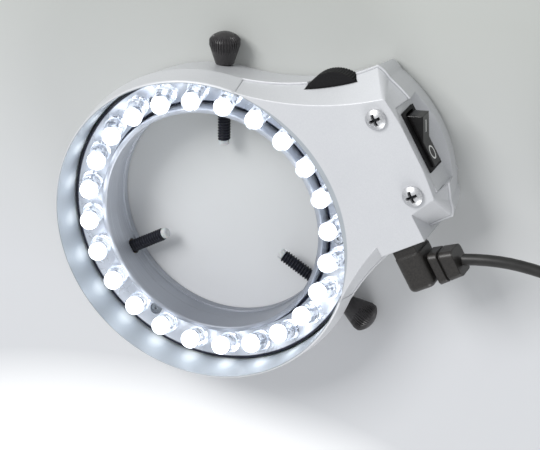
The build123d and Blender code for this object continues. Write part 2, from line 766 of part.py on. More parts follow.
save(switch_body.part, "switch_body")


def rocker_point(out, along):
    """A point of the rocker's side view, tipped so that the minus Y half lies flush."""
    swing = radians(-ROCKER_HALF_SWING)
    return (
        ROCKER_PIVOT_X + out * cos(swing) - along * sin(swing),
        SWITCH_Y + out * sin(swing) + along * cos(swing),
    )


# Switch rocker: two faces that meet in a valley, on flared ends and two short pins
with BuildPart() as switch_rocker:
    tip = radians(ROCKER_HALF_SWING)
    reach = ROCKER_LENGTH / 2 - ROCKER_GAP
    half = (reach - ROCKER_FACE * sin(tip)) * cos(tip)
    rise = half * tan(tip)
    with BuildSketch(Plane.XY.offset(SWITCH_Z - ROCKER_HEIGHT / 2)):
        with BuildLine():
            Polyline(
                rocker_point(ROCKER_FACE, 0),
                rocker_point(ROCKER_FACE + rise, half),
                rocker_point(0.5, reach - 0.05),
                rocker_point(-0.6, reach - 1.4),
                rocker_point(-1.0, 1.6),
                rocker_point(-ROCKER_TAIL, 1.0),
                rocker_point(-ROCKER_TAIL, -1.0),
                rocker_point(-1.0, -1.6),
                rocker_point(-0.6, 1.4 - reach),
                rocker_point(0.5, 0.05 - reach),
                rocker_point(ROCKER_FACE + rise, -half),
                close=True,
            )
        make_face()
    extrude(amount=ROCKER_HEIGHT)
    pin_half = ROCKER_HEIGHT / 2 + ROCKER_GAP + ROCKER_PIN_LENGTH - RUN_GAP
    post(ROCKER_PIVOT_X, SWITCH_Y, SWITCH_Z - pin_half, ROCKER_PIN_R, 2 * pin_half)
save(switch_rocker.part, "switch_rocker")

# Dimmer: a turning resistor on the driver board, its shaft, and the ribbed edge wheel
POT_TOP = WHEEL_LOW_Z - POT_GAP
with BuildPart() as dimmer_body:
    block(
        (WHEEL_X - POT_LENGTH / 2, WHEEL_Y + POT_BACK - POT_WIDTH, PCB_TOP),
        (WHEEL_X + POT_LENGTH / 2, WHEEL_Y + POT_BACK, POT_TOP),
    )
    post(WHEEL_X, WHEEL_Y, PCB_TOP + 1, SHAFT_R + RUN_GAP, POT_TOP, Mode.SUBTRACT)
save(dimmer_body.part, "dimmer_body")

with BuildPart() as dimmer_shaft:
    shaft_low = PCB_TOP + 1 + RUN_GAP
    post(WHEEL_X, WHEEL_Y, shaft_low, SHAFT_R, WHEEL_LOW_Z + WHEEL_THICK - shaft_low)
save(dimmer_shaft.part, "dimmer_shaft")

with BuildPart() as dimmer_wheel:
    with BuildSketch(Plane.XY.offset(WHEEL_LOW_Z)):
        with Locations((WHEEL_X, WHEEL_Y)):
            Circle(WHEEL_R)
            Circle(SHAFT_R, mode=Mode.SUBTRACT)
            with PolarLocations(WHEEL_R + 0.1, WHEEL_TEETH):
                Circle(WHEEL_TOOTH, mode=Mode.SUBTRACT)
    extrude(amount=WHEEL_THICK)
save(dimmer_wheel.part, "dimmer_wheel")

# Power socket: the moulded jack behind the box's wall, with its centre pin
with BuildPart() as power_socket:
    socket_near = SOCKET_WALL_Y + WALL
    block(
        (SOCKET_X - SOCKET_BODY_X / 2, socket_near, SOCKET_Z - SOCKET_BODY_Z / 2),
        (SOCKET_X + SOCKET_BODY_X / 2, socket_near + SOCKET_BODY_Y, SOCKET_Z + SOCKET_BODY_Z / 2),
    )
    across(SOCKET_X, socket_near - 1, SOCKET_Z, JACK_R, BARREL_LENGTH, Mode.SUBTRACT)
    across(SOCKET_X, socket_near - 0.5, SOCKET_Z, JACK_PIN_R, BARREL_LENGTH)
    block(
        (SOCKET_X - SOCKET_BODY_X / 2 + 1, PCB_LOW[1] + 1, PCB_TOP),
        (SOCKET_X + SOCKET_BODY_X / 2 - 1, socket_near + SOCKET_BODY_Y, SOCKET_Z - 3),
    )
save(power_socket.part, "power_socket")

# Driver board: the circuit board on its standoffs, clear of the cover's bosses
with BuildPart() as driver_board:
    with BuildSketch(Plane.XY.offset(PCB_Z)):
        with BuildLine():
            Polyline(
                PCB_LOW,
                (PCB_CORNER[0] + 1, PCB_LOW[1]),
                (PCB_HIGH[0], 3 - PCB_CORNER[1]),
                (PCB_HIGH[0], PCB_CORNER[1]),
                (PCB_CORNER[0], PCB_HIGH[1]),
                (PCB_LOW[0], PCB_HIGH[1]),
                close=True,
            )
        make_face()
    extrude(amount=PCB_THICK)
    for x, y in COVER_SCREWS:
        post(x, y, PCB_Z - 1, BOSS_R + 0.3, PCB_THICK + 2, Mode.SUBTRACT)
save(driver_board.part, "driver_board")

# Components that stand on the driver board
with BuildPart() as driver_parts:
    post(PCB_LOW[0] + 4.3, -4.7, PCB_TOP, COIL_R, COIL_H)
    post(PCB_LOW[0] + 4.3, 5.4, PCB_TOP, CAPACITOR_R, CAPACITOR_H)
    block((PCB_CORNER[0] + 2.5, -5.0, PCB_TOP), (PCB_CORNER[0] + 7.5, -1.0, PCB_TOP + 1.5))
    block((PCB_CORNER[0] + 3, 2.0, PCB_TOP), (PCB_CORNER[0] + 6, 4.0, PCB_TOP + 1.1))
save(driver_parts.part, "driver_parts")


def wire(points, bends):
    """A round wire along straight runs joined by arcs."""
    with BuildLine() as path:
        FilletPolyline(*points, radius=bends)
    start = path.line % 0
    with BuildSketch(Plane(origin=points[0], z_dir=start)) as section:
        Circle(WIRE_R)
    return sweep(section.sketch, path.line, mode=Mode.PRIVATE)


# Wires from the driver board through the ring's wall to the lamp board
with BuildPart() as led_wires:
    lamp_wire_z = BOARD_TOP + WIRE_R + 0.05
    for side in (-1, 1):
        y = side * WIRE_Y
        rise_x = PCB_LOW[0] + 1.3
        route = ((rise_x, y, PCB_TOP), (rise_x, y, lamp_wire_z), (BOARD_OUT_R - 3, y, lamp_wire_z))
        add(wire(route, 1.5))
save(led_wires.part, "led_wires")

# Wires from the back of the switch down to the driver board
with BuildPart() as switch_wires:
    for side in (-1, 1):
        y = SWITCH_Y + side * 2.2
        back = PANEL_X - SWITCH_DEPTH
        route = ((back, y, SWITCH_Z), (back - 1.8, y, SWITCH_Z), (back - 1.8, y, PCB_TOP))
        add(wire(route, 1.2))
save(switch_wires.part, "switch_wires")

# Plug body: the right angled moulding that stands out of the socket
with BuildPart() as cord_plug:
    plug_half = PLUG_WIDTH / 2
    neck_y = SOCKET_WALL_Y - PLUG_NECK
    block(
        (SOCKET_X - plug_half, PLUG_FAR_Y, PLUG_LOW_Z),
        (SOCKET_X + plug_half, neck_y, PLUG_HIGH_Z),
    )
    fillet(cord_plug.edges().filter_by(Axis.Y), PLUG_ROUND)
    fillet(cord_plug.faces().sort_by(Axis.Y)[0].edges(), PLUG_END_ROUND)
    block(
        (SOCKET_X - plug_half + 0.6, neck_y - 1, PLUG_LOW_Z + 0.6),
        (SOCKET_X + plug_half - 0.6, SOCKET_WALL_Y, PLUG_HIGH_Z - 0.6),
    )
save(cord_plug.part, "cord_plug")

# Plug barrel: the plated sleeve that slides over the socket's centre pin
with BuildPart() as plug_barrel:
    across(SOCKET_X, SOCKET_WALL_Y, SOCKET_Z, BARREL_R, BARREL_LENGTH)
    across(SOCKET_X, SOCKET_WALL_Y + 0.8, SOCKET_Z, BARREL_BORE_R, BARREL_LENGTH, Mode.SUBTRACT)
save(plug_barrel.part, "plug_barrel")

# Boot: the tapered strain relief with two flex grooves
with BuildPart() as cord_boot:
    boot_near = Plane(origin=(SOCKET_X + PLUG_WIDTH / 2, BOOT_Y, SOCKET_Z), z_dir=(1, 0, 0))
    boot_far = Plane(origin=(BOOT_FAR_X, BOOT_END_Y, SOCKET_Z), z_dir=(1, 0, 0))
    with BuildSketch(boot_near) as wide_end:
        RectangleRounded(BOOT_WIDTH, BOOT_HEIGHT, 1.5)
    with BuildSketch(boot_far) as narrow_end:
        RectangleRounded(BOOT_WIDTH, BOOT_END_HEIGHT, 1.5)
    loft((wide_end.sketch, narrow_end.sketch))
    for x in BOOT_GROOVES:
        with BuildSketch(Plane(origin=(x, BOOT_Y - 0.2, SOCKET_Z), z_dir=(1, 0, 0))):
            Rectangle(2 * BOOT_WIDTH, 2 * BOOT_HEIGHT)
            RectangleRounded(BOOT_WIDTH - 1.8, BOOT_HEIGHT - 2.4, 1.2, mode=Mode.SUBTRACT)
        extrude(amount=0.7, mode=Mode.SUBTRACT)
save(cord_boot.part, "cord_boot")


def route_radii(route):
    """Arc radii for a route: 0.45 of the shorter run over the tangent of half the turn."""
    points = [Vector(*point) for point in route]
    radii = []
    for before, corner, after in zip(points, points[1:], points[2:]):
        turn = (corner - before).get_angle(after - corner)
        shorter = min((corner - before).length, (after - corner).length)
        radii.append(0.45 * shorter / tan(radians(turn / 2)))
    return radii


# Cord: the free stretch from the boot to the coil
cord_radii = route_radii(CORD_ROUTE)
print("cord radii", [round(radius, 1) for radius in cord_radii])
with BuildPart() as power_cord:
    with BuildLine() as cord_path:
        FilletPolyline(*CORD_ROUTE, radius=cord_radii)
    cord_wire = cord_path.wire()
    with BuildSketch(Plane(origin=CORD_ROUTE[0], z_dir=cord_wire % 0)):
        Circle(CORD_R)
    sweep(path=cord_wire)
save(power_cord.part, "power_cord")
cord_length = cord_wire.length
print("cord tube", round(cord_length, 1), round(power_cord.part.volume / (pi * CORD_R**2), 1))


def coil_point(turn):
    """Centre of the cord in the coil: layers wind in and out, and drop one layer as they reverse."""
    span = COIL_TURNS + COIL_CLIMB
    layer = int(turn // span)
    along = turn - layer * span
    wound = min(along, COIL_TURNS)
    inner = COIL_MEAN_R - COIL_PITCH * COIL_TURNS / 2
    outer = COIL_MEAN_R + COIL_PITCH * COIL_TURNS / 2
    radius = inner + COIL_PITCH * wound if layer % 2 else outer - COIL_PITCH * wound
    dropped = layer + max(along - COIL_TURNS, 0) / COIL_CLIMB
    height = COIL_LOW_Z + COIL_LAYER * (COIL_LAYERS - 1 - dropped)
    angle = radians(COIL_START + 360 * turn)
    return Vector(COIL_X + radius * cos(angle), COIL_Y + radius * sin(angle), height)


def coil_heading(turn):
    """Direction of the cord in the coil, averaged over a little of the turn to each side."""
    low = max(turn - 0.02, 0)
    return (coil_point(turn + 0.02) - coil_point(low)).normalized()


def biarc(start, start_way, end, end_way):
    """Two arcs that leave and arrive along the given directions and share a tangent."""
    gap = end - start
    both = start_way + end_way
    bend = 2 * (1 - start_way.dot(end_way))
    reach = (sqrt(gap.dot(both) ** 2 + bend * gap.dot(gap)) - gap.dot(both)) / bend
    near = start + start_way * reach
    far = end - end_way * reach
    middle = (near + far) / 2
    TangentArc(start, middle, tangent=start_way)
    TangentArc(middle, end, tangent=(far - near).normalized())


# Coil: the rest of the cord, wound in four layers, with a tail that rises to the far plug
coil_steps = [step / 4 for step in range(int(COIL_END * 4) + 1)] + [COIL_END]
coil_start_way = Vector(sin(radians(-COIL_START)), cos(radians(COIL_START)), 0)
coil_ways = [coil_heading(turn) for turn in coil_steps]
coil_ways[0] = coil_start_way
coil_ways[-1] = Vector(0, 1, 0)
coil_nodes = [coil_point(turn) for turn in coil_steps]
tail_start = coil_nodes[-1] + Vector(0, COIL_STUB, 0)
tail_end = Vector(tail_start.X, tail_start.Y + TAIL_RUN, USB_HEIGHT / 2)
usb_neck = tail_end + Vector(0, COIL_STUB, 0)
with BuildPart() as power_cord_coil:
    with BuildLine() as coil_path:
        Line(coil_nodes[0] - coil_start_way * COIL_STUB, coil_nodes[0])
        for index in range(len(coil_nodes) - 1):
            biarc(
                coil_nodes[index],
                coil_ways[index],
                coil_nodes[index + 1],
                coil_ways[index + 1],
            )
        Line(coil_nodes[-1], tail_start)
        biarc(tail_start, Vector(0, 1, 0.001).normalized(), tail_end, Vector(0, 1, 0))
        Line(tail_end, usb_neck)
    coil_wire = coil_path.wire()
    with BuildSketch(Plane(origin=coil_wire @ 0, z_dir=coil_wire % 0)):
        Circle(CORD_R)
    sweep(path=coil_wire)
save(power_cord_coil.part, "power_cord_coil")
coil_length = coil_wire.length
print("coil", round(coil_length, 1), round(power_cord_coil.part.volume / (pi * CORD_R**2), 1))
samples = [coil_wire @ (step / 1600) for step in range(1601)]
apart = int(CORD_D * 3 / coil_length * 1600)
least = min(
    (samples[i] - samples[j]).length
    for i in range(0, 1601, 2)
    for j in range(i + apart, 1601)
)
print("least gap in the coil", round(least - CORD_D, 2))

# Tie: a flat strap round the coil
with BuildPart() as cord_tie:
    tie_in = COIL_MEAN_R - COIL_PITCH * COIL_TURNS / 2 - CORD_R - 0.65
    tie_out = COIL_MEAN_R + COIL_PITCH * COIL_TURNS / 2 + CORD_R + 0.4
    tie_top = COIL_LOW_Z + COIL_LAYER * (COIL_LAYERS - 1) + CORD_R + 0.1
    tie_way = polar(1, TIE_ANGLE)
    tie_plane = Plane(
        origin=(COIL_X, COIL_Y, 0), x_dir=tie_way, z_dir=polar(1, TIE_ANGLE - 90)
    )
    with BuildSketch(tie_plane):
        with Locations(((tie_in + tie_out) / 2, (TIE_THICK + tie_top) / 2)):
            RectangleRounded(
                tie_out - tie_in + 2 * TIE_THICK, tie_top + TIE_THICK, 1.6
            )
            RectangleRounded(
                tie_out - tie_in, tie_top - TIE_THICK, 0.8, mode=Mode.SUBTRACT
            )
    extrude(amount=TIE_WIDTH / 2, both=True)
save(cord_tie.part, "cord_tie")

# Far plug: a moulded grip and its metal shell, lying beside the coil
with BuildPart() as usb_plug:
    with Locations((usb_neck.X, usb_neck.Y + USB_NECK + USB_LENGTH / 2, USB_HEIGHT / 2)):
        Box(USB_WIDTH, USB_LENGTH, USB_HEIGHT)
    fillet(usb_plug.edges().filter_by(Axis.Y), 1.5)
    with BuildSketch(Plane(origin=tuple(usb_neck), z_dir=(0, 1, 0))) as neck_end:
        Circle(CORD_R + 0.9)
    neck_top = usb_neck + Vector(0, USB_NECK, 0)
    with BuildSketch(Plane(origin=tuple(neck_top), z_dir=(0, 1, 0))) as neck_base:
        Circle(USB_HEIGHT / 2 - 0.6)
    loft((neck_end.sketch, neck_base.sketch))
save(usb_plug.part, "usb_plug")

with BuildPart() as usb_shell:
    shell_y = usb_neck.Y + USB_NECK + USB_LENGTH
    low = (usb_neck.X - USB_SHELL_WIDTH / 2, shell_y, USB_HEIGHT / 2 - USB_SHELL_HEIGHT / 2)
    high = (
        usb_neck.X + USB_SHELL_WIDTH / 2,
        shell_y + USB_SHELL_LENGTH,
        USB_HEIGHT / 2 + USB_SHELL_HEIGHT / 2,
    )
    block(low, high)
    block((low[0] + 0.3, shell_y + 1, high[2] - 2.0), (high[0] - 0.3, 100, high[2] - 0.3), Mode.SUBTRACT)
save(usb_shell.part, "usb_shell")
print("whole cord", round(cord_length + coil_length, 1))
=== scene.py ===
import math

import bmesh
import bpy
import numpy as np
from mathutils import Matrix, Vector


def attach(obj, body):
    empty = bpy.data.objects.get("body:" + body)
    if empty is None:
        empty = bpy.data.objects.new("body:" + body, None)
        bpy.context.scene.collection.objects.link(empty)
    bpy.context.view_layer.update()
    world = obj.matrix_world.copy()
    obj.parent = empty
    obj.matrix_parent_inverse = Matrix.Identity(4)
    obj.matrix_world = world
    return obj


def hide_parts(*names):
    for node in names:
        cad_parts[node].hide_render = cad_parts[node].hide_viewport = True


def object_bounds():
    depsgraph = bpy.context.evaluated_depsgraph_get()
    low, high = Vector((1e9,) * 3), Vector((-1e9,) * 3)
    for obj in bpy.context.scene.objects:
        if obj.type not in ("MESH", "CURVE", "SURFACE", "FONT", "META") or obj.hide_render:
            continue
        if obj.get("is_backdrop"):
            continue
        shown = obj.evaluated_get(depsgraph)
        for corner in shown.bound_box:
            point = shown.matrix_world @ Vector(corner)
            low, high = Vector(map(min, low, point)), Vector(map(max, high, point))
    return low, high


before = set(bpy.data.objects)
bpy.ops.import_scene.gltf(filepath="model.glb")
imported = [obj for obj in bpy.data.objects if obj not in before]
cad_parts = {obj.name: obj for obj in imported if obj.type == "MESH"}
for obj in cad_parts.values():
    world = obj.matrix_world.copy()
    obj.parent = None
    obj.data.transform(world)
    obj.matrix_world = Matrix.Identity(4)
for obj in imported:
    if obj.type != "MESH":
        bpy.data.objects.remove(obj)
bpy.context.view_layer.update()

# The view. A long lens looks down on the open face of the ring from above the dimmer
# wheel, square enough to it that the bore still reads as nearly round.
camera = bpy.data.objects.new("camera", bpy.data.cameras.new("camera"))
camera.data.sensor_width = 36.0
camera.data.lens = 146.67
camera.data.clip_start = 0.01
camera.data.clip_end = 20.0
camera.matrix_world = Matrix((
    (0.8119, 0.3169, 0.4903, 0.2992),
    (-0.4498, 0.8750, 0.1794, 0.0970),
    (-0.3721, -0.3661, 0.8529, 0.5061),
    (0.0, 0.0, 0.0, 1.0),
))
bpy.context.collection.objects.link(camera)
bpy.context.scene.camera = camera
bpy.context.scene.view_settings.view_transform = "Standard"

# The bench. A flat sheet of pale matt card that the ring lies on, darker away from the lamps
# and almost white where their light spills on it.
BENCH_HALF, BENCH_Z, LIGHT_TURN = 3, -0.0003, 0.5255


def linear(code):
    """sRGB hex to linear: each channel c becomes ((c + 0.055) / 1.055) to the power 2.4, and a
    very dark one c / 12.92."""
    channels = [int(code[i:i + 2], 16) / 255 for i in (1, 3, 5)]
    return [c / 12.92 if c <= 0.04045 else ((c + 0.055) / 1.055) ** 2.4 for c in channels] + [1]


def add(tree, kind, settings=None, links=None):
    """One shader node. settings are attributes, socket values or the stops of a colour ramp as
    places and hex codes; links are input: output socket."""
    node = tree.nodes.new(kind)
    for name, value in (settings or {}).items():
        if name == "stops":
            for _ in value[2:]:
                node.color_ramp.elements.new(0.5)
            for element, (place, code) in zip(node.color_ramp.elements, value):
                element.position = place
                element.color = linear(code)
        elif isinstance(name, str) and hasattr(node, name):
            setattr(node, name, value)
        else:
            node.inputs[name].default_value = value
    for name, socket in (links or {}).items():
        tree.links.new(socket, node.inputs[name])
    return node


def new_finish(name):
    """A material with an empty node tree but for its output."""
    material = bpy.data.materials.new(name)
    material.use_nodes = True
    material.node_tree.nodes.clear()
    return material, material.node_tree


bench_mesh = bpy.data.meshes.new("bench")
bench_mesh.from_pydata([
    (x * BENCH_HALF, y * BENCH_HALF, BENCH_Z) for x, y in ((-1, -1), (1, -1), (1, 1), (-1, 1))
], [], [(0, 1, 2, 3)])
bench = bpy.data.objects.new("bench", bench_mesh)
bpy.context.collection.objects.link(bench)
bench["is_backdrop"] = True
board, tree = new_finish("matt card")
where = add(tree, "ShaderNodeTexCoord")
# the pool of lamp light, an ellipse that lies off the ring's lower left
pool = add(tree, "ShaderNodeMapping", {
    "vector_type": "TEXTURE", "Location": (-0.0875, -0.1111, 0),
    "Rotation": (0, 0, -LIGHT_TURN), "Scale": (0.142, 0.088, 1.0),
}, {"Vector": where.outputs["Object"]})
flat = add(tree, "ShaderNodeVectorMath", {"operation": "MULTIPLY", 1: (1, 1, 0)}, {
    0: pool.outputs[0]})
away = add(tree, "ShaderNodeVectorMath", {"operation": "LENGTH"}, {0: flat.outputs[0]})
pool_light = add(tree, "ShaderNodeValToRGB", {"stops": [
    (0.68, "#ffffff"), (0.86, "#c8c8c8"), (1.0, "#000000")]}, {"Fac": away.outputs["Value"]})
# the card grows paler towards the lamps, over 0.1 m
across = add(tree, "ShaderNodeMapping", {
    "Rotation": (0, 0, LIGHT_TURN), "Scale": (10, 10, 10)}, {"Vector": where.outputs["Object"]})
place = add(tree, "ShaderNodeSeparateXYZ", links={"Vector": across.outputs[0]})
fall = add(tree, "ShaderNodeMapRange", {"From Min": 0.6, "From Max": -0.3}, {
    "Value": place.outputs["Y"]})
card_colour = add(tree, "ShaderNodeValToRGB", {"stops": [(0.0, "#b8bab6"), (1.0, "#cacbcd")]}, {
    "Fac": fall.outputs[0]})
card_lit_tone = add(tree, "ShaderNodeMix", {"data_type": "RGBA", 7: linear("#ffffff")}, {
    0: pool_light.outputs[0], 6: card_colour.outputs[0]})
card = add(tree, "ShaderNodeBsdfDiffuse", links={"Color": card_lit_tone.outputs[2]})
card_lit = add(tree, "ShaderNodeEmission", {"Strength": 0.08}, {
    "Color": card_lit_tone.outputs[2]})
both = add(tree, "ShaderNodeAddShader", links={0: card.outputs[0], 1: card_lit.outputs[0]})
add(tree, "ShaderNodeOutputMaterial", links={"Surface": both.outputs[0]})
bench_mesh.materials.append(board)

# Studio light. One large soft box over the dimmer side gives the bright slope and the dim
# end panel, a weaker one fills from the plug's side, and the room is an even pale grey.
world = bpy.data.worlds.new("room")
bpy.context.scene.world = world
world.use_nodes = True
world.node_tree.nodes["Background"].inputs["Color"].default_value = linear("#dfe2e6")
world.node_tree.nodes["Background"].inputs["Strength"].default_value = 0.72
for name, place, size, power in (
    ("soft box", (-0.15, 1.3, 1.3), 0.8, 24.0),
    ("fill box", (0.1, -1.4, 0.6), 0.8, 9.0),
):
    lamp = bpy.data.objects.new(name, bpy.data.lights.new(name, "AREA"))
    lamp.data.size = size
    lamp.data.energy = power
    lamp.location = place
    back = np.array(place) / np.linalg.norm(place)
    side = np.cross((0, 0, 1), back)
    side = side / np.linalg.norm(side)
    lamp.matrix_world = Matrix(np.vstack([
        np.column_stack([side, np.cross(back, side), back, place]), (0, 0, 0, 1)
    ]).tolist())
    bpy.context.collection.objects.link(lamp)

# Power cord. Round two core flex in soft black PVC, 3 mm across and about 1.43 m long. It
# leaves the plug's boot, sags to the top of its own coil and winds down through four layers.
CORD_D = 3.0
CORD_ROUTE = [
    (62.98, -32.52, 15.97), (69.4, -34.99, 15.6), (77.8, -41.0, 14.1), (87.6, -50.35, 13.1),
    (93.73, -55.49, 13.1),
]
COIL_CENTRE, COIL_START_ANGLE = (110.4, -40.3), 230
COIL_LAYERS, COIL_TURNS, COIL_CLIMB, COIL_END = 4, 3, 0.5, 13.361
COIL_MEAN_R, COIL_PITCH, COIL_LAYER, COIL_LOW_Z = 16.5, 3.9, 3.6, 2.3
CORD_TAIL = [
    (132.21, -37.3, 2.3), (132.21, -33.5, 2.35), (132.21, -27.0, 3.95), (132.21, -21.3, 4.0),
    (132.21, -18.3, 4.0),
]


def coil_route(turn):
    """Turns of the coil: the radius runs in and out by one pitch a turn, and the height falls
    by one layer in the half turn where it reverses; x and y are radius times cosine and sine."""
    span = COIL_TURNS + COIL_CLIMB
    layer = np.floor(turn / span)
    along = turn - layer * span
    wound = np.minimum(along, COIL_TURNS)
    reach = COIL_PITCH * COIL_TURNS / 2
    radius = np.where(layer % 2 == 1, COIL_MEAN_R - reach + COIL_PITCH * wound,
                      COIL_MEAN_R + reach - COIL_PITCH * wound)
    fallen = layer + np.maximum(along - COIL_TURNS, 0) / COIL_CLIMB
    angle = np.radians(COIL_START_ANGLE + 360 * turn)
    return np.stack([
        COIL_CENTRE[0] + radius * np.cos(angle),
        COIL_CENTRE[1] + radius * np.sin(angle),
        COIL_LOW_Z + COIL_LAYER * (COIL_LAYERS - 1 - fallen),
    ], axis=-1)


points_a_turn = 24
turns = np.append(np.arange(0, COIL_END, 1 / points_a_turn), COIL_END)
route = np.concatenate([CORD_ROUTE, coil_route(turns), CORD_TAIL]) / 1000
flex = bpy.data.curves.new("power_flex", "CURVE")
flex.dimensions = "3D"
flex.bevel_depth = 1.0
flex.bevel_resolution = 6
flex.resolution_u = 4
flex.use_fill_caps = True
spline = flex.splines.new("NURBS")
spline.points.add(len(route) - 1)
spline.points.foreach_set("co", np.column_stack([route, np.ones(len(route))]).ravel())
spline.points.foreach_set("radius", np.full(len(route), CORD_D / 2000))
spline.order_u = 3
spline.use_endpoint_u = True
power_flex = bpy.data.objects.new("power_flex", flex)
bpy.context.collection.objects.link(power_flex)
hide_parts("power_cord", "power_cord_coil")
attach(power_flex, "housing")

# soft PVC: extruded, so almost smooth, with a faint bloom and a broad weak shine
soft_pvc, tree = new_finish("extruded soft PVC")
where = add(tree, "ShaderNodeTexCoord")
bloom = add(tree, "ShaderNodeTexNoise", {"Scale": 350.0, "Detail": 4.0}, {
    "Vector": where.outputs["Object"]})
tone = add(tree, "ShaderNodeValToRGB", {"stops": [(0.3, "#1b1a19"), (0.75, "#2b2a28")]}, {
    "Fac": bloom.outputs["Fac"]})
skin_bump = add(tree, "ShaderNodeBump", {"Strength": 0.15, "Distance": 0.00005}, {
    "Height": bloom.outputs["Fac"]})
shade = add(tree, "ShaderNodeBsdfPrincipled", {"Roughness": 0.42, "IOR": 1.54}, {
    "Base Color": tone.outputs[0], "Normal": skin_bump.outputs[0],
})
add(tree, "ShaderNodeOutputMaterial", links={"Surface": shade.outputs[0]})
flex.materials.append(soft_pvc)

# Plug, boot, strap and far plug. All are moulded in the same black PVC as the flex, fine
# grained from the mould, with the two grooves that let the boot bend.
grained_pvc, tree = new_finish("moulded grained PVC")
where = add(tree, "ShaderNodeTexCoord")
# mould grain of 0.4 mm, drawn three times coarser than real so that it shows
grain = add(tree, "ShaderNodeTexNoise", {"Scale": 2500.0, "Detail": 3.0}, {
    "Vector": where.outputs["Object"]})
tone = add(tree, "ShaderNodeValToRGB", {"stops": [(0.3, "#211f1d"), (0.7, "#33302d")]}, {
    "Fac": grain.outputs["Fac"]})
soft_edge = add(tree, "ShaderNodeBevel", {"samples": 6, "Radius": 0.0006})
grain_bump = add(tree, "ShaderNodeBump", {"Strength": 0.3, "Distance": 0.00006}, {
    "Height": grain.outputs["Fac"], "Normal": soft_edge.outputs[0],
})
shade = add(tree, "ShaderNodeBsdfPrincipled", {"Roughness": 0.38, "IOR": 1.54}, {
    "Base Color": tone.outputs[0], "Normal": grain_bump.outputs[0],
})
add(tree, "ShaderNodeOutputMaterial", links={"Surface": shade.outputs[0]})


def dress(material, *names):
    """Gives CAD nodes one material in every slot that they have."""
    for name in names:
        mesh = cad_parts[name].data
        if not mesh.materials:
            mesh.materials.append(material)
        for i in range(len(mesh.materials)):
            mesh.materials[i] = material


dress(grained_pvc, "cord_plug", "cord_boot", "cord_tie", "usb_plug")

# Contact metal. The far plug's shell and the barrel in the socket are nickel plated sheet,
# drawn and rolled, so bright with a faint grain along the drawing.
nickel, tree = new_finish("nickel plated sheet")
where = add(tree, "ShaderNodeTexCoord")
drawn = add(tree, "ShaderNodeMapping", {"Scale": (1.0, 0.05, 1.0)}, {
    "Vector": where.outputs["Object"]})
lines = add(tree, "ShaderNodeTexNoise", {"Scale": 3000.0, "Detail": 2.0}, {
    "Vector": drawn.outputs[0]})
line_tone = add(tree, "ShaderNodeValToRGB", {"stops": [(0.3, "#b4b4b6"), (0.7, "#d2d2d3")]}, {
    "Fac": lines.outputs["Fac"]})
soft_edge = add(tree, "ShaderNodeBevel", {"samples": 6, "Radius": 0.0003})
shade = add(tree, "ShaderNodeBsdfPrincipled", {"Roughness": 0.24, "Metallic": 1.0}, {
    "Base Color": line_tone.outputs[0], "Normal": soft_edge.outputs[0],
})
add(tree, "ShaderNodeOutputMaterial", links={"Surface": shade.outputs[0]})
dress(nickel, "usb_shell", "plug_barrel")

# Housing and front cover. Two ABS mouldings sprayed with one satin coat of silver grey paint,
# smooth to the touch, with fine metal flake and edges that the paint has rounded a little.
LAMP_COUNT, WALL_R, WALL_BLEND = 24, 0.0416, 0.0001
silver_paint, tree = new_finish("silver grey satin paint on ABS")
where = add(tree, "ShaderNodeTexCoord")
# metal flake is 0.05 mm in the real paint, drawn at 0.25 mm so that it shows
flake = add(tree, "ShaderNodeTexVoronoi", {"Scale": 4000.0}, {"Vector": where.outputs["Object"]})
cloud = add(tree, "ShaderNodeTexNoise", {"Scale": 60.0, "Detail": 3.0}, {
    "Vector": where.outputs["Object"]})
flake_tone = add(tree, "ShaderNodeValToRGB", {"stops": [(0.0, "#cfd0d3"), (1.0, "#dadbdd")]}, {
    "Fac": flake.outputs["Color"]})
cloud_tone = add(tree, "ShaderNodeValToRGB", {"stops": [(0.3, "#d0d1d4"), (0.7, "#d8d9db")]}, {
    "Fac": cloud.outputs["Fac"]})
paint_tone = add(tree, "ShaderNodeMix", {"data_type": "RGBA", 0: 0.5}, {
    6: flake_tone.outputs[0], 7: cloud_tone.outputs[0],
})
# the wall round the lamps, inside WALL_R, takes their light: it is drawn in the paint's tone
# as a pale patch beside each lamp that fades towards the rim, and bluish grey between them
level = add(tree, "ShaderNodeVectorMath", {"operation": "MULTIPLY", 1: (1, 1, 0)}, {
    0: where.outputs["Object"]})
wall_reach = add(tree, "ShaderNodeVectorMath", {"operation": "LENGTH"}, {0: level.outputs[0]})
round_lamps = add(tree, "ShaderNodeMapRange", {
    "From Min": WALL_R + WALL_BLEND, "From Max": WALL_R - WALL_BLEND}, {
    "Value": wall_reach.outputs["Value"]})
place = add(tree, "ShaderNodeSeparateXYZ", links={"Vector": where.outputs["Object"]})
over_carrier = add(tree, "ShaderNodeMapRange", {"From Min": 0.008, "From Max": 0.009}, {
    "Value": place.outputs["Z"]})
on_wall = add(tree, "ShaderNodeMath", {"operation": "MULTIPLY"}, {
    0: round_lamps.outputs[0], 1: over_carrier.outputs[0]})
turn_round = add(tree, "ShaderNodeMath", {"operation": "ARCTAN2"}, {
    0: place.outputs["Y"], 1: place.outputs["X"]})
lamp_turn = add(tree, "ShaderNodeMath", {"operation": "MULTIPLY", 1: LAMP_COUNT}, {
    0: turn_round.outputs[0]})
beside = add(tree, "ShaderNodeMath", {"operation": "COSINE"}, {0: lamp_turn.outputs[0]})
near_lamp = add(tree, "ShaderNodeMapRange", {"From Min": 1.0, "From Max": -1.0}, {
    "Value": beside.outputs[0]})
low_down = add(tree, "ShaderNodeMapRange", {
    "From Min": 0.0205, "From Max": 0.0145, "To Min": 0.1, "To Max": 1.0}, {
    "Value": place.outputs["Z"]})
patch_tone = add(tree, "ShaderNodeMath", {"operation": "MULTIPLY"}, {
    0: near_lamp.outputs[0], 1: low_down.outputs[0]})
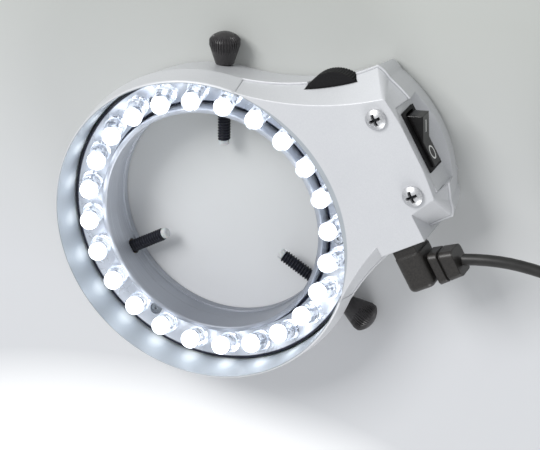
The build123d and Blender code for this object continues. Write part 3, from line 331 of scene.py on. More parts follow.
wall_tone = add(tree, "ShaderNodeValToRGB", {"stops": [
    (0.0, "#adb3b8"), (0.5, "#c3cacf"), (1.0, "#f6fbfc")]}, {"Fac": patch_tone.outputs[0]})
painted = add(tree, "ShaderNodeMix", {"data_type": "RGBA"}, {
    0: on_wall.outputs[0], 6: paint_tone.outputs[2], 7: wall_tone.outputs[0]})
soft_edge = add(tree, "ShaderNodeBevel", {"samples": 8, "Radius": 0.0005})
peel = add(tree, "ShaderNodeBump", {"Strength": 0.06, "Distance": 0.0001}, {
    "Height": cloud.outputs["Fac"], "Normal": soft_edge.outputs[0],
})
shade = add(tree, "ShaderNodeBsdfPrincipled", {
    "Roughness": 0.42, "Metallic": 0.2, "Coat Weight": 0.15, "Coat Roughness": 0.3,
}, {"Base Color": painted.outputs[2], "Normal": peel.outputs[0]})
add(tree, "ShaderNodeOutputMaterial", links={"Surface": shade.outputs[0]})
dress(silver_paint, "back_housing", "front_cover")

# Lens collar. A turned aluminium sleeve, anodised satin grey; its bore is smooth and its
# front lip is a narrow bright edge left by the facing cut.
satin_metal, tree = new_finish("satin anodised aluminium")
where = add(tree, "ShaderNodeTexCoord")
# turning lines 0.3 mm apart, drawn as rings of equal height
rings = add(tree, "ShaderNodeMapping", {"Scale": (0.02, 0.02, 1.0)}, {
    "Vector": where.outputs["Object"]})
lines = add(tree, "ShaderNodeTexNoise", {"Scale": 3300.0, "Detail": 1.0}, {
    "Vector": rings.outputs[0]})
line_tone = add(tree, "ShaderNodeValToRGB", {"stops": [(0.3, "#bcc0c8"), (0.7, "#cbcfd6")]}, {
    "Fac": lines.outputs["Fac"]})
# painted shade: the half towards the supply plug is drawn darker, for the shade that lies on that
# side of the bore
place = add(tree, "ShaderNodeSeparateXYZ", links={"Vector": where.outputs["Object"]})
plug_side_shade = add(tree, "ShaderNodeMapRange", {"From Min": 0.004, "From Max": -0.022}, {
    "Value": place.outputs["Y"]})
collar_tone_and_shade = add(tree, "ShaderNodeMix", {"data_type": "RGBA", 7: linear("#8d9199")}, {
    0: plug_side_shade.outputs[0], 6: line_tone.outputs[0]})
soft_edge = add(tree, "ShaderNodeBevel", {"samples": 6, "Radius": 0.0003})
shade = add(tree, "ShaderNodeBsdfPrincipled", {"Roughness": 0.4, "Metallic": 0.5}, {
    "Base Color": collar_tone_and_shade.outputs[2], "Normal": soft_edge.outputs[0],
})
add(tree, "ShaderNodeOutputMaterial", links={"Surface": shade.outputs[0]})
dress(satin_metal, "lens_collar")

# Lamp carrier. A shallow cone pressed in ABS and silvered like a torch reflector, so the lamps'
# light comes off it as a lavender grey shine; three dark wells sink its screws.
UNSHADED_MIDDLE, UNSHADED_HALF, RIM_SHADOW_BLEND = 0.0363, 0.0035, 0.0001
silvered, tree = new_finish("vacuum silvered ABS")
where = add(tree, "ShaderNodeTexCoord")
haze = add(tree, "ShaderNodeTexNoise", {"Scale": 120.0, "Detail": 3.0}, {
    "Vector": where.outputs["Object"]})
haze_tone = add(tree, "ShaderNodeValToRGB", {"stops": [(0.3, "#d3d7df"), (0.7, "#e0e4ea")]}, {
    "Fac": haze.outputs["Fac"]})
# painted shadow: outside the radii from 32.8 to 39.8 mm, within 0.6 mm of both rims, the carrier
# is drawn dark navy and not metallic, for the shadow in the gaps beside the collar and the wall
level = add(tree, "ShaderNodeVectorMath", {"operation": "MULTIPLY", 1: (1, 1, 0)}, {
    0: where.outputs["Object"]})
carrier_reach = add(tree, "ShaderNodeVectorMath", {"operation": "LENGTH"}, {
    0: level.outputs[0]})
off_middle = add(tree, "ShaderNodeMath", {"operation": "SUBTRACT", 1: UNSHADED_MIDDLE}, {
    0: carrier_reach.outputs["Value"]})
off_either = add(tree, "ShaderNodeMath", {"operation": "ABSOLUTE"}, {0: off_middle.outputs[0]})
rim_shadow = add(tree, "ShaderNodeMapRange", {
    "From Min": UNSHADED_HALF - RIM_SHADOW_BLEND, "From Max": UNSHADED_HALF + RIM_SHADOW_BLEND}, {
    "Value": off_either.outputs[0]})
rim_shadow_tone = add(tree, "ShaderNodeMix", {"data_type": "RGBA", 7: linear("#0c1026")}, {
    0: rim_shadow.outputs[0], 6: haze_tone.outputs[0]})
rim_shadow_metal = add(tree, "ShaderNodeMapRange", {"To Min": 0.45, "To Max": 0.0}, {
    "Value": rim_shadow.outputs[0]})
haze_rough = add(tree, "ShaderNodeMapRange", {"To Min": 0.22, "To Max": 0.34}, {
    "Value": haze.outputs["Fac"]})
shade = add(tree, "ShaderNodeBsdfPrincipled", links={
    "Base Color": rim_shadow_tone.outputs[2], "Roughness": haze_rough.outputs[0],
    "Metallic": rim_shadow_metal.outputs[0],
})
add(tree, "ShaderNodeOutputMaterial", links={"Surface": shade.outputs[0]})
dress(silvered, "led_carrier")

# Lamps. Twenty four 5 mm white lamps in water clear epoxy: a flange with one flat, a straight
# body and a domed end, cast round a steel lead frame whose cup holds the glowing chip.
LAMP_SEAT_R, LAMP_SEAT_Z, LAMP_TILT, LAMP_LIFT = 36.4, 10.234, 17.0, 0.05
LENS_R, FLANGE_R, FLANGE_TOP, FLANGE_FLAT, DOME_FOOT = 2.5, 2.9, 1.0, 2.55, 6.1
LENS_SIDES, CUP_SIDES = 40, 20
epoxy, tree = new_finish("water clear cast epoxy, lit")
where = add(tree, "ShaderNodeTexCoord")
# the light gathers in the domes, so the glow grows from 12.5 mm up, over the flanges, to the
# domes at 17.5 mm
up = add(tree, "ShaderNodeSeparateXYZ", links={"Vector": where.outputs["Object"]})
gathered = add(tree, "ShaderNodeMapRange", {
    "From Min": 0.0125, "From Max": 0.0175, "To Min": 0.22, "To Max": 1.3}, {
    "Value": up.outputs["Z"]})
# glints of the lead frame, about 1 mm across, darken the glow in places
swirl = add(tree, "ShaderNodeTexNoise", {"Scale": 620.0, "Detail": 2.0}, {
    "Vector": where.outputs["Object"]})
glints = add(tree, "ShaderNodeMapRange", {"From Min": 0.42, "From Max": 0.52, "To Min": 0.12}, {
    "Value": swirl.outputs["Fac"]})
glow = add(tree, "ShaderNodeMath", {"operation": "MULTIPLY"}, {
    0: gathered.outputs[0], 1: glints.outputs[0]})
clear = add(tree, "ShaderNodeBsdfPrincipled", {
    "Base Color": linear("#f6faff"), "Roughness": 0.04, "IOR": 1.53, "Transmission Weight": 1.0,
    "Emission Color": linear("#eef5ff"),
}, {"Emission Strength": glow.outputs[0]})
add(tree, "ShaderNodeOutputMaterial", links={"Surface": clear.outputs[0]})
core_light, tree = new_finish("lit phosphor")
hot = add(tree, "ShaderNodeEmission", {"Color": linear("#f2f7ff"), "Strength": 4.0})
add(tree, "ShaderNodeOutputMaterial", links={"Surface": hot.outputs[0]})
lead_steel, tree = new_finish("tinned lead frame steel")
where = add(tree, "ShaderNodeTexCoord")
dull = add(tree, "ShaderNodeTexNoise", {"Scale": 1500.0}, {"Vector": where.outputs["Object"]})
dull_tone = add(tree, "ShaderNodeValToRGB", {"stops": [(0.3, "#8b8f99"), (0.7, "#a9adb6")]}, {
    "Fac": dull.outputs["Fac"]})
shade = add(tree, "ShaderNodeBsdfPrincipled", {"Roughness": 0.35, "Metallic": 0.9}, {
    "Base Color": dull_tone.outputs[0],
})
add(tree, "ShaderNodeOutputMaterial", links={"Surface": shade.outputs[0]})


def turned(profile, count):
    """A profile of (radius, height) points carried once round the z axis: x and y are the
    radius times the cosine and sine of the turn, z is the height."""
    profile = np.asarray(profile, dtype=float)
    turn = np.linspace(0, 2 * np.pi, count, endpoint=False)
    radius = profile[:, :1]
    return np.stack([
        radius * np.cos(turn), radius * np.sin(turn), np.repeat(profile[:, 1:2], count, axis=1)
    ], axis=-1)


def moved(points, matrix):
    """Every point times a 4 by 4 matrix: its turn first, then its shift."""
    matrix = np.asarray(matrix)
    return points @ matrix[:3, :3].T + matrix[:3, 3]


def spun_seat(radius, angle, height, tilt):
    """The matrix of a place at a radius, angle a and height round the bore. Its turn is Rz(a)
    times a tip of its z axis by the tilt t towards the bore: z = (-sin t, 0, cos t)."""
    a, t = np.radians([angle, tilt])
    round_z = np.array([[np.cos(a), -np.sin(a), 0], [np.sin(a), np.cos(a), 0], [0, 0, 1]])
    tip = np.array([[np.cos(t), 0, -np.sin(t)], [0, 1, 0], [np.sin(t), 0, np.cos(t)]])
    matrix = np.eye(4)
    matrix[:3, :3] = round_z @ tip
    matrix[:3, 3] = radius * np.cos(a), radius * np.sin(a), height
    return matrix


def skin(name, grids, materials, sharp=40.0):
    """One mesh from grids of points in millimetres, each with the number of its material. The
    point i, j joins i + 1, j and i, j + 1, and the last j joins the first."""
    points, quads, marks, start = [], [], [], 0
    for grid, mark in grids:
        rows, count = grid.shape[:2]
        i, j = np.meshgrid(np.arange(rows - 1), np.arange(count), indexing="ij")
        k = (j + 1) % count
        below, above = i * count, (i + 1) * count
        quad = np.stack([below + j, below + k, above + k, above + j], axis=-1)
        quads.append(quad.reshape(-1, 4) + start)
        marks.append(np.full(quads[-1].shape[0], mark))
        points.append(grid.reshape(-1, 3) / 1000)
        start += rows * count
    mesh = bpy.data.meshes.new(name)
    mesh.from_pydata(np.concatenate(points).tolist(), [], np.concatenate(quads).tolist())
    mesh.polygons.foreach_set("material_index", np.concatenate(marks))
    for material in materials:
        mesh.materials.append(material)
    shape = bmesh.new()
    shape.from_mesh(mesh)
    bmesh.ops.remove_doubles(shape, verts=shape.verts, dist=1e-6)
    bmesh.ops.dissolve_degenerate(shape, edges=shape.edges, dist=1e-7)
    bmesh.ops.recalc_face_normals(shape, faces=shape.faces)
    shape.to_mesh(mesh)
    shape.free()
    mesh.polygons.foreach_set("use_smooth", np.ones(len(mesh.polygons), dtype=bool))
    mesh.set_sharp_from_angle(angle=math.radians(sharp))
    piece = bpy.data.objects.new(name, mesh)
    bpy.context.collection.objects.link(piece)
    return piece


def stands_for(piece, body, slot, *nodes):
    """The piece rides on a body and takes the place of CAD nodes; slot is not used."""
    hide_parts(*nodes)
    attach(piece, body)


arc = np.radians(np.linspace(0, 90, 9))
lens_profile = np.concatenate([
    [(0, 0), (FLANGE_R, 0), (FLANGE_R, 0.85), (2.78, FLANGE_TOP), (LENS_R, FLANGE_TOP),
     (LENS_R, 3.5)],
    np.column_stack([LENS_R * np.cos(arc), DOME_FOOT + LENS_R * np.sin(arc)]),
])
lens_grid = turned(lens_profile, LENS_SIDES)
# the flange is cut flat on its outer side, which marks the negative lead
lens_grid[..., 0] = np.where(
    lens_grid[..., 2] <= FLANGE_TOP, np.minimum(lens_grid[..., 0], FLANGE_FLAT), lens_grid[..., 0]
)
cup_grid = turned([
    (0, 3.2), (0.75, 3.2), (1.1, 4.6), (0.95, 4.6), (0.5, 3.9), (0, 3.9),
], CUP_SIDES)
glow_grid = turned([
    (0, 3.95), (0.45, 3.95), (1.1, 4.7), (1.5, 5.6), (1.35, 6.6), (0.8, 7.3), (0, 7.6),
], CUP_SIDES)


def strip(low, high):
    """A flat strip of the lead frame between two corners: x and y take the four values of the
    box's upright edges, z its two heights, and rows at the middle close both ends."""
    (x0, y0, z0), (x1, y1, z1) = low, high
    ring = np.array([(x0, y0), (x1, y0), (x1, y1), (x0, y1)])
    middle = np.repeat(ring.mean(axis=0)[None], 4, axis=0)
    rows = [np.column_stack([middle, np.full(4, z0)]), np.column_stack([ring, np.full(4, z0)]),
            np.column_stack([ring, np.full(4, z1)]), np.column_stack([middle, np.full(4, z1)])]
    return np.stack(rows)


# the lens, the cup, the glowing core, two posts of the lead frame and their legs below
lamp_grids = [
    (lens_grid, 0),
    (cup_grid, 2),
    (glow_grid, 1),
    (strip((-0.3, -1.6, 0.4), (0.3, -0.5, 3.3)), 2),
    (strip((-0.3, 0.9, 0.4), (0.3, 1.6, 3.9)), 2),
    (strip((-0.25, -1.5, -1.9), (0.25, -1.04, 0.0)), 2),
    (strip((-0.25, 1.04, -1.9), (0.25, 1.5, 0.0)), 2),
]
for number in range(LAMP_COUNT):
    seat = spun_seat(LAMP_SEAT_R, (number + 0.5) * 360 / LAMP_COUNT, LAMP_SEAT_Z, LAMP_TILT)
    lifted = seat.copy()
    lifted[:3, 3] += seat[:3, 2] * LAMP_LIFT
    lamp = skin(
        f"lamp_{number + 1:02d}", [(moved(grid, lifted), mark) for grid, mark in lamp_grids],
        [epoxy, core_light, lead_steel],
    )
    stands_for(lamp, "housing", "led_lens", f"led_{number + 1:02d}")

# Carrier screws and dimmer shaft. Three small pan screws of zinc plated steel, sunk in the
# carrier's wells where little light reaches, so they read as grey dots; the shaft is alike.
zinc, tree = new_finish("zinc plated steel")
where = add(tree, "ShaderNodeTexCoord")
# crystals of the plating, 0.3 mm
plating = add(tree, "ShaderNodeTexNoise", {"Scale": 3000.0, "Detail": 3.0}, {
    "Vector": where.outputs["Object"]})
plating_tone = add(tree, "ShaderNodeValToRGB", {"stops": [(0.3, "#8e9196"), (0.7, "#b6b9bd")]}, {
    "Fac": plating.outputs["Fac"]})
soft_edge = add(tree, "ShaderNodeBevel", {"samples": 6, "Radius": 0.0002})
shade = add(tree, "ShaderNodeBsdfPrincipled", {"Roughness": 0.3, "Metallic": 1.0}, {
    "Base Color": plating_tone.outputs[0], "Normal": soft_edge.outputs[0],
})
add(tree, "ShaderNodeOutputMaterial", links={"Surface": shade.outputs[0]})
dress(zinc, "carrier_screws", "dimmer_shaft")

# Cover screws. Two nickel plated pan heads, 5.4 mm across, with a domed top and a deep cross
# recess whose floor is drawn dark as painted shade; they hold the front cover to the bosses of
# the tray.
satin_nickel, tree = new_finish("satin nickel plated steel")
where = add(tree, "ShaderNodeTexCoord")
# marks of the heading die, 0.4 mm apart
struck = add(tree, "ShaderNodeTexNoise", {"Scale": 2400.0, "Detail": 2.0}, {
    "Vector": where.outputs["Object"]})
struck_tone = add(tree, "ShaderNodeValToRGB", {"stops": [(0.3, "#c0c1c3"), (0.7, "#dcdcdd")]}, {
    "Fac": struck.outputs["Fac"]})
shade = add(tree, "ShaderNodeBsdfPrincipled", {"Roughness": 0.42, "Metallic": 0.8}, {
    "Base Color": struck_tone.outputs[0],
})
add(tree, "ShaderNodeOutputMaterial", links={"Surface": shade.outputs[0]})
# painted shade: a near black steel drawn on the floor of the cross, for the shade that fills the
# recess
recess_shade, tree = new_finish("painted shade in the cross recess")
where = add(tree, "ShaderNodeTexCoord")
recess_mottle = add(tree, "ShaderNodeTexNoise", {"Scale": 2500.0}, {"Vector": where.outputs["Object"]})
recess_shade_tone = add(tree, "ShaderNodeValToRGB", {"stops": [(0.3, "#17181b"), (0.7, "#2a2c30")]}, {
    "Fac": recess_mottle.outputs["Fac"]})
shade = add(tree, "ShaderNodeBsdfPrincipled", {"Roughness": 0.55, "Metallic": 0.6}, {
    "Base Color": recess_shade_tone.outputs[0],
})
add(tree, "ShaderNodeOutputMaterial", links={"Surface": shade.outputs[0]})
COVER_SCREWS, FACE_Z = ((61.4, 10.3), (61.0, -11.3)), 21.2
HEAD_R, HEAD_H, HEAD_DROP, HEAD_SIDES, SHANK_R, SHANK_DEPTH = 2.7, 1.8, 0.95, 96, 1.5, 9.0
BAR_HALF_WIDE, BAR_HALF_LONG, RECESS_DEPTH, SHADE_R, SHADE_BELOW = 0.42, 1.6, 1.0, 1.7, 0.95
head_turn = np.linspace(0, 2 * np.pi, HEAD_SIDES, endpoint=False)
head_reach = np.concatenate([np.linspace(0, 2.3, 30), [2.45, 2.58, 2.66, HEAD_R]])
reach, turn = np.meshgrid(head_reach, head_turn, indexing="ij")
head_x, head_y = reach * np.cos(turn), reach * np.sin(turn)
dome = HEAD_H - HEAD_DROP * (reach / HEAD_R) ** 2.4
# the cross is two crossed bars with sloping walls, sunk in the dome
off_bar = np.minimum(np.abs(head_x), np.abs(head_y))
along_bar = np.maximum(np.abs(head_x), np.abs(head_y))
sunk = (np.clip((BAR_HALF_WIDE - off_bar) / 0.12, 0, 1)
        * np.clip((BAR_HALF_LONG - along_bar) / 0.25, 0, 1))
head_top = np.stack([head_x, head_y, dome - RECESS_DEPTH * sunk], axis=-1)
head_side = turned([
    (HEAD_R, HEAD_H - HEAD_DROP), (2.72, 0.5), (2.62, 0.15), (2.4, 0.0), (SHANK_R, 0.0),
    (SHANK_R, -SHANK_DEPTH), (0, -SHANK_DEPTH),
], HEAD_SIDES)
# the side bulges by 0.02 mm, held within the box of the solid head
head_box = np.array([HEAD_R, HEAD_R, SHANK_DEPTH])
head_side = np.minimum(np.abs(head_side), head_box) * np.sign(head_side)
heads = []
for x, y in COVER_SCREWS:
    at = np.array([x, y, FACE_Z])
    heads += [(head_top + at, 0), (head_side + at, 0)]
cover_heads = skin("cover_heads", heads, [satin_nickel, recess_shade], sharp=50.0)
# painted shade: the floor of the cross is drawn dark, for the shade that fills the recess
for face in cover_heads.data.polygons:
    x, y, z = (1000 * value for value in face.center)
    off_axis = min(math.hypot(x - at_x, y - at_y) for at_x, at_y in COVER_SCREWS)
    if 0.1 < z - FACE_Z < SHADE_BELOW and off_axis < SHADE_R:
        face.material_index = 1
stands_for(cover_heads, "housing", "screw_steel", "cover_screws")

# Thumbscrews. Three black nylon knobs moulded on threaded studs: a waisted stem, a wide band
# cut into fine grip ribs and a domed end. A clear nylon tip presses on the lens barrel.
black_nylon, tree = new_finish("moulded black nylon")
where = add(tree, "ShaderNodeTexCoord")
# mould texture of 0.5 mm, drawn at real size
mould = add(tree, "ShaderNodeTexNoise", {"Scale": 2000.0, "Detail": 2.0}, {
    "Vector": where.outputs["Object"]})
mould_tone = add(tree, "ShaderNodeValToRGB", {"stops": [(0.3, "#262425"), (0.7, "#383536")]}, {
    "Fac": mould.outputs["Fac"]})
mould_bump = add(tree, "ShaderNodeBump", {"Strength": 0.1, "Distance": 0.00005}, {
    "Height": mould.outputs["Fac"]})
shade = add(tree, "ShaderNodeBsdfPrincipled", {"Roughness": 0.34, "IOR": 1.53}, {
    "Base Color": mould_tone.outputs[0], "Normal": mould_bump.outputs[0],
})
add(tree, "ShaderNodeOutputMaterial", links={"Surface": shade.outputs[0]})
stud_nylon, tree = new_finish("thread cut black nylon")
where = add(tree, "ShaderNodeTexCoord")
cutter = add(tree, "ShaderNodeTexNoise", {"Scale": 2600.0, "Detail": 2.0}, {
    "Vector": where.outputs["Object"]})
cutter_tone = add(tree, "ShaderNodeValToRGB", {"stops": [(0.3, "#0e0f16"), (0.7, "#191b26")]}, {
    "Fac": cutter.outputs["Fac"]})
shade = add(tree, "ShaderNodeBsdfPrincipled", {"Roughness": 0.4, "Specular IOR Level": 0.3}, {
    "Base Color": cutter_tone.outputs[0],
})
add(tree, "ShaderNodeOutputMaterial", links={"Surface": shade.outputs[0]})
clear_nylon, tree = new_finish("natural nylon")
where = add(tree, "ShaderNodeTexCoord")
milk = add(tree, "ShaderNodeTexNoise", {"Scale": 900.0}, {"Vector": where.outputs["Object"]})
milk_tone = add(tree, "ShaderNodeValToRGB", {"stops": [(0.3, "#a9adae"), (0.7, "#c3c6c6")]}, {
    "Fac": milk.outputs["Fac"]})
soft_edge = add(tree, "ShaderNodeBevel", {"samples": 6, "Radius": 0.0003})
shade = add(tree, "ShaderNodeBsdfPrincipled", {"Roughness": 0.45, "Subsurface Weight": 0.2,
                                               "Subsurface Scale": 0.001}, {
    "Base Color": milk_tone.outputs[0], "Normal": soft_edge.outputs[0],
})
add(tree, "ShaderNodeOutputMaterial", links={"Surface": shade.outputs[0]})
dress(clear_nylon, "nylon_tip_1", "nylon_tip_2", "nylon_tip_3")
THUMB_Z, THREAD_R, THREAD_PITCH, THREAD_DEPTH = 4.2, 1.75, 0.794, 0.4
STUD_SIDES, STUD_START, STUD_END, STUD_CORE_R = 24, 20.5, 43.0, 1.3
TIP_HOLE_R, TIP_HOLE_END = 0.85, 23.05
KNOB_RIBS, RIB_DEPTH, KNOB_R, KNOB_RISE, KNOB_TOP = 36, 0.3, 4.1, 2.0, 50.4


def threaded(start, end):
    """A right hand thread: the radius is THREAD_R less a clipped triangle wave of the phase,
    which is height over pitch less turn over a full turn, taken modulo 1."""
    height = np.arange(start, end, THREAD_PITCH / 8)[:, None]
    turn = np.linspace(0, 2 * np.pi, STUD_SIDES, endpoint=False)[None]
    phase = (height / THREAD_PITCH - turn / (2 * np.pi)) % 1.0
    radius = THREAD_R - THREAD_DEPTH * np.clip(1.2 * np.abs(2 * phase - 1) - 0.1, 0, 1)
    return np.stack([radius * np.cos(turn), radius * np.sin(turn), height + 0 * turn], axis=-1)


# the stud's inner end is bored out for the nylon tip
stud = np.concatenate([
    turned([
        (0, TIP_HOLE_END), (TIP_HOLE_R, TIP_HOLE_END), (TIP_HOLE_R, STUD_START),
        (STUD_CORE_R, STUD_START),
    ], STUD_SIDES),
    threaded(STUD_START + 0.1, STUD_END),
    turned([(STUD_CORE_R, STUD_END), (0, STUD_END)], STUD_SIDES),
])
# the dome is part of a ball that rises KNOB_RISE over the band's radius KNOB_R
ball_r = (KNOB_R**2 + KNOB_RISE**2) / (2 * KNOB_RISE)
dome_reach = KNOB_R * (1 - np.linspace(0, 1, 12)[1:])
dome_height = KNOB_TOP - ball_r + np.sqrt(ball_r**2 - dome_reach**2)
knob_profile = np.concatenate([
    [(0, 41.8), (2.2, 41.8), (2.5, 41.9), (2.6, 42.3), (3.05, 43.6), (3.55, 45.2), (3.95, 46.5),
     (KNOB_R, 46.9), (KNOB_R, 48.3)],
    np.column_stack([dome_reach, dome_height]),
])
knob = turned(knob_profile, KNOB_RIBS * 6)
# grip ribs: grooves cut over the band that run out on the stem and on the dome
rib_turn = np.linspace(0, 2 * np.pi, KNOB_RIBS * 6, endpoint=False)
groove = RIB_DEPTH * np.clip(0.4 + np.cos(KNOB_RIBS * rib_turn), 0, 1)
band = np.interp(knob_profile[:, 1], [45.4, 46.4, 49.2, 49.9], [0, 1, 1, 0])
knob_reach = np.linalg.norm(knob[..., :2], axis=-1, keepdims=True)
knob[..., :2] *= 1 - (band[:, None] * groove[None])[..., None] / np.maximum(knob_reach, 1.0)
for number, angle in ((1, 60), (2, -60), (3, 180)):
    out_along = spun_seat(0, angle, THUMB_Z, -90)
    screw_stud = skin(
        f"screw_stud_{number}", [(moved(stud, out_along), 0)], [stud_nylon], sharp=60.0)
    stands_for(screw_stud, f"thumbscrew_{number}", "thread_black", f"thumb_thread_{number}")
    grip = skin(f"grip_knob_{number}", [(moved(knob, out_along), 0)], [black_nylon], sharp=35.0)
    stands_for(grip, f"thumbscrew_{number}", "knob_plastic", f"thumb_knob_{number}")

# Bushes. Turned brass, plain, pressed in the blocks under the lamp ring and seen only as a
# thin ring where each stud passes.
brass, tree = new_finish("turned brass")
where = add(tree, "ShaderNodeTexCoord")
cut = add(tree, "ShaderNodeTexNoise", {"Scale": 2600.0, "Detail": 2.0}, {
    "Vector": where.outputs["Object"]})
cut_tone = add(tree, "ShaderNodeValToRGB", {"stops": [(0.3, "#a8843f"), (0.7, "#c7a45c")]}, {
    "Fac": cut.outputs["Fac"]})
soft_edge = add(tree, "ShaderNodeBevel", {"samples": 6, "Radius": 0.0002})
shade = add(tree, "ShaderNodeBsdfPrincipled", {"Roughness": 0.32, "Metallic": 1.0}, {
    "Base Color": cut_tone.outputs[0], "Normal": soft_edge.outputs[0],
})
add(tree, "ShaderNodeOutputMaterial", links={"Surface": shade.outputs[0]})
dress(brass, "thumb_bushes")

# Dimmer, socket and switch frame. The edge wheel with its fine ribs, the resistor under it,
# the socket behind the wall and the frame round the rocker are black mouldings with the faint
# orange peel of a spark cut mould.
black_abs, tree = new_finish("spark textured black ABS")
where = add(tree, "ShaderNodeTexCoord")
# spark texture of 0.15 mm, drawn at 0.4 mm so that it shows
spark = add(tree, "ShaderNodeTexNoise", {"Scale": 2500.0, "Detail": 4.0}, {
    "Vector": where.outputs["Object"]})
spark_tone = add(tree, "ShaderNodeValToRGB", {"stops": [(0.3, "#0e0d0e"), (0.7, "#1c1b1d")]}, {
    "Fac": spark.outputs["Fac"]})
soft_edge = add(tree, "ShaderNodeBevel", {"samples": 6, "Radius": 0.0002})
spark_bump = add(tree, "ShaderNodeBump", {"Strength": 0.3, "Distance": 0.00005}, {
    "Height": spark.outputs["Fac"], "Normal": soft_edge.outputs[0],
})
shade = add(tree, "ShaderNodeBsdfPrincipled", {"Roughness": 0.6, "Specular IOR Level": 0.25}, {
    "Base Color": spark_tone.outputs[0], "Normal": spark_bump.outputs[0],
})
add(tree, "ShaderNodeOutputMaterial", links={"Surface": shade.outputs[0]})
dress(black_abs, "dimmer_wheel", "dimmer_body", "power_socket", "switch_body")

# Rocker. Glossy black, two flat faces that meet in a valley and tip on two pins; a white ring
# is printed on the half that switches off and a white bar on the half that switches on.
gloss_black, tree = new_finish("polished black polycarbonate")
where = add(tree, "ShaderNodeTexCoord")
wipe = add(tree, "ShaderNodeTexNoise", {"Scale": 700.0, "Detail": 3.0}, {
    "Vector": where.outputs["Object"]})
wipe_tone = add(tree, "ShaderNodeValToRGB", {"stops": [(0.3, "#0e0d0d"), (0.7, "#171616")]}, {
    "Fac": wipe.outputs["Fac"]})
wipe_rough = add(tree, "ShaderNodeMapRange", {"To Min": 0.12, "To Max": 0.24}, {
    "Value": wipe.outputs["Fac"]})
soft_edge = add(tree, "ShaderNodeBevel", {"samples": 8, "Radius": 0.0005})
shade = add(tree, "ShaderNodeBsdfPrincipled", {"IOR": 1.5, "Specular IOR Level": 0.35}, {
    "Base Color": wipe_tone.outputs[0], "Roughness": wipe_rough.outputs[0],
    "Normal": soft_edge.outputs[0],
})
add(tree, "ShaderNodeOutputMaterial", links={"Surface": shade.outputs[0]})
mark_ink, tree = new_finish("white pad print")
where = add(tree, "ShaderNodeTexCoord")
ink = add(tree, "ShaderNodeTexNoise", {"Scale": 4000.0}, {"Vector": where.outputs["Object"]})
ink_tone = add(tree, "ShaderNodeValToRGB", {"stops": [(0.3, "#d3d3d1"), (0.6, "#ececea")]}, {
    "Fac": ink.outputs["Fac"]})
shade = add(tree, "ShaderNodeBsdfPrincipled", {"Roughness": 0.5}, {
    "Base Color": ink_tone.outputs[0]})
add(tree, "ShaderNodeOutputMaterial", links={"Surface": shade.outputs[0]})
PIVOT = np.array([65.0, 0.2, 14.35])
FACE_OUT, HALF_SWING, TIP_RUN, TIP_RISE, ROCKER_HALF_Z = 3.0, 13.3, 6.53, 1.544, 2.4
PIN_R, PIN_HALF_Z, MARK_RUN, MARK_PROUD = 0.8, 2.85, 3.6, 0.02
# out from the pivot and along the rocker, from a raised tip round to the foot, then mirrored
half_outline = [
    (FACE_OUT + TIP_RISE, TIP_RUN), (0.5, 7.35), (-0.6, 6.0), (-1.0, 1.6), (-2.6, 1.0),
]
rocker_outline = np.array(
    [(FACE_OUT, 0)] + half_outline + [(out, -run) for out, run in reversed(half_outline)]
)
rocker_grid = np.stack([
    np.column_stack([rocker_outline * wide, np.full(len(rocker_outline), height)])
    for wide, height in (
        (0, -ROCKER_HALF_Z), (1, -ROCKER_HALF_Z), (1, ROCKER_HALF_Z), (0, ROCKER_HALF_Z))
])
pin = turned([(0, -PIN_HALF_Z), (PIN_R, -PIN_HALF_Z), (PIN_R, PIN_HALF_Z), (0, PIN_HALF_Z)], 24)


def on_face(side, run, across):
    """A point just proud of a rocker face: run along the chord from the valley, so it is at
    TIP_RISE run / chord above FACE_OUT and TIP_RUN run / chord along, and across in z."""
    chord = np.hypot(TIP_RISE, TIP_RUN)
    out = FACE_OUT + TIP_RISE * run / chord + MARK_PROUD
    return np.stack([out, side * TIP_RUN * run / chord, across], axis=-1)


# the ring between its outer and inner ellipse, and the bar between its edge and its middle
ring_turn = np.linspace(0, 2 * np.pi, 48, endpoint=False)
ring_mark = np.stack([
    on_face(-1, MARK_RUN + a * np.cos(ring_turn), b * np.sin(ring_turn))
    for a, b in ((1.85, 1.5), (1.4, 1.05))
])
bar_corners = np.array([(-1, -1), (1, -1), (1, 1), (-1, 1)])
bar_edges = [bar_corners * half for half in ((1.6, 0.24), (0.0, 0.0))]
bar_mark = np.stack([on_face(1, MARK_RUN + edge[:, 0], edge[:, 1]) for edge in bar_edges])
tipped = np.eye(4)
swing = np.radians(-HALF_SWING)
tipped[:2, :2] = [[np.cos(swing), -np.sin(swing)], [np.sin(swing), np.cos(swing)]]
tipped[:3, 3] = PIVOT
rocker = skin("rocker", [
    (moved(rocker_grid, tipped), 0), (moved(pin, tipped), 0),
    (moved(ring_mark, tipped), 1), (moved(bar_mark, tipped), 1),
], [gloss_black, mark_ink], sharp=30.0)
stands_for(rocker, "rocker", "rocker_plastic", "switch_rocker")

# Circuit boards. Both are glass epoxy under green solder mask; the driver board carries a coil,
# a capacitor and two small chips, none of them seen unless the cover is off.
solder_mask, tree = new_finish("green solder mask on glass epoxy")
where = add(tree, "ShaderNodeTexCoord")
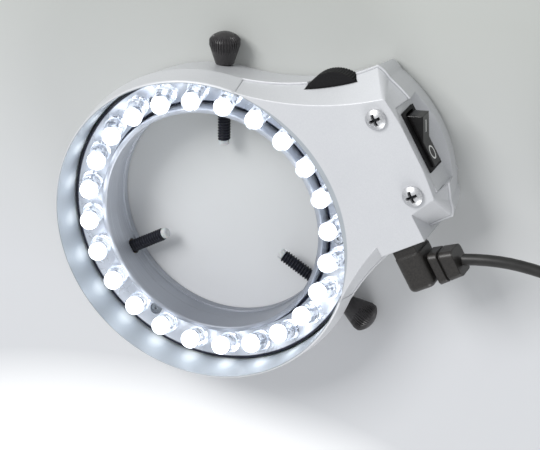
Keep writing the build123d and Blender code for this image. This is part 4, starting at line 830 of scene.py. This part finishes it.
# copper tracks 1 mm apart show through the mask as paler lines
tracks = add(tree, "ShaderNodeTexWave", {"Scale": 160.0, "Distortion": 6.0, "Detail": 1.0}, {
    "Vector": where.outputs["Object"]})
mask_tone = add(tree, "ShaderNodeValToRGB", {"stops": [(0.4, "#123f22"), (0.6, "#1d5c33")]}, {
    "Fac": tracks.outputs["Fac"]})
shade = add(tree, "ShaderNodeBsdfPrincipled", {"Roughness": 0.3, "IOR": 1.55}, {
    "Base Color": mask_tone.outputs[0],
})
add(tree, "ShaderNodeOutputMaterial", links={"Surface": shade.outputs[0]})
dress(solder_mask, "led_board", "driver_board")
component, tree = new_finish("moulded epoxy component bodies")
where = add(tree, "ShaderNodeTexCoord")
speck = add(tree, "ShaderNodeTexNoise", {"Scale": 1800.0}, {"Vector": where.outputs["Object"]})
speck_tone = add(tree, "ShaderNodeValToRGB", {"stops": [(0.3, "#2c2d30"), (0.7, "#414348")]}, {
    "Fac": speck.outputs["Fac"]})
shade = add(tree, "ShaderNodeBsdfPrincipled", {"Roughness": 0.5}, {
    "Base Color": speck_tone.outputs[0]})
add(tree, "ShaderNodeOutputMaterial", links={"Surface": shade.outputs[0]})
dress(component, "driver_parts")

# Wires. Red hook up wire, 1.2 mm over its soft PVC insulation, runs from the board to the
# lamps through the notch in the ring's wall and to the tabs of the switch.
wire_pvc, tree = new_finish("red PVC wire insulation")
where = add(tree, "ShaderNodeTexCoord")
drag = add(tree, "ShaderNodeTexNoise", {"Scale": 1200.0, "Detail": 2.0}, {
    "Vector": where.outputs["Object"]})
drag_tone = add(tree, "ShaderNodeValToRGB", {"stops": [(0.3, "#8a1a1a"), (0.7, "#a72624")]}, {
    "Fac": drag.outputs["Fac"]})
shade = add(tree, "ShaderNodeBsdfPrincipled", {"Roughness": 0.38, "IOR": 1.54}, {
    "Base Color": drag_tone.outputs[0],
})
add(tree, "ShaderNodeOutputMaterial", links={"Surface": shade.outputs[0]})
dress(wire_pvc, "led_wires", "switch_wires")

size = [list(map(float, corner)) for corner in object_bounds()]
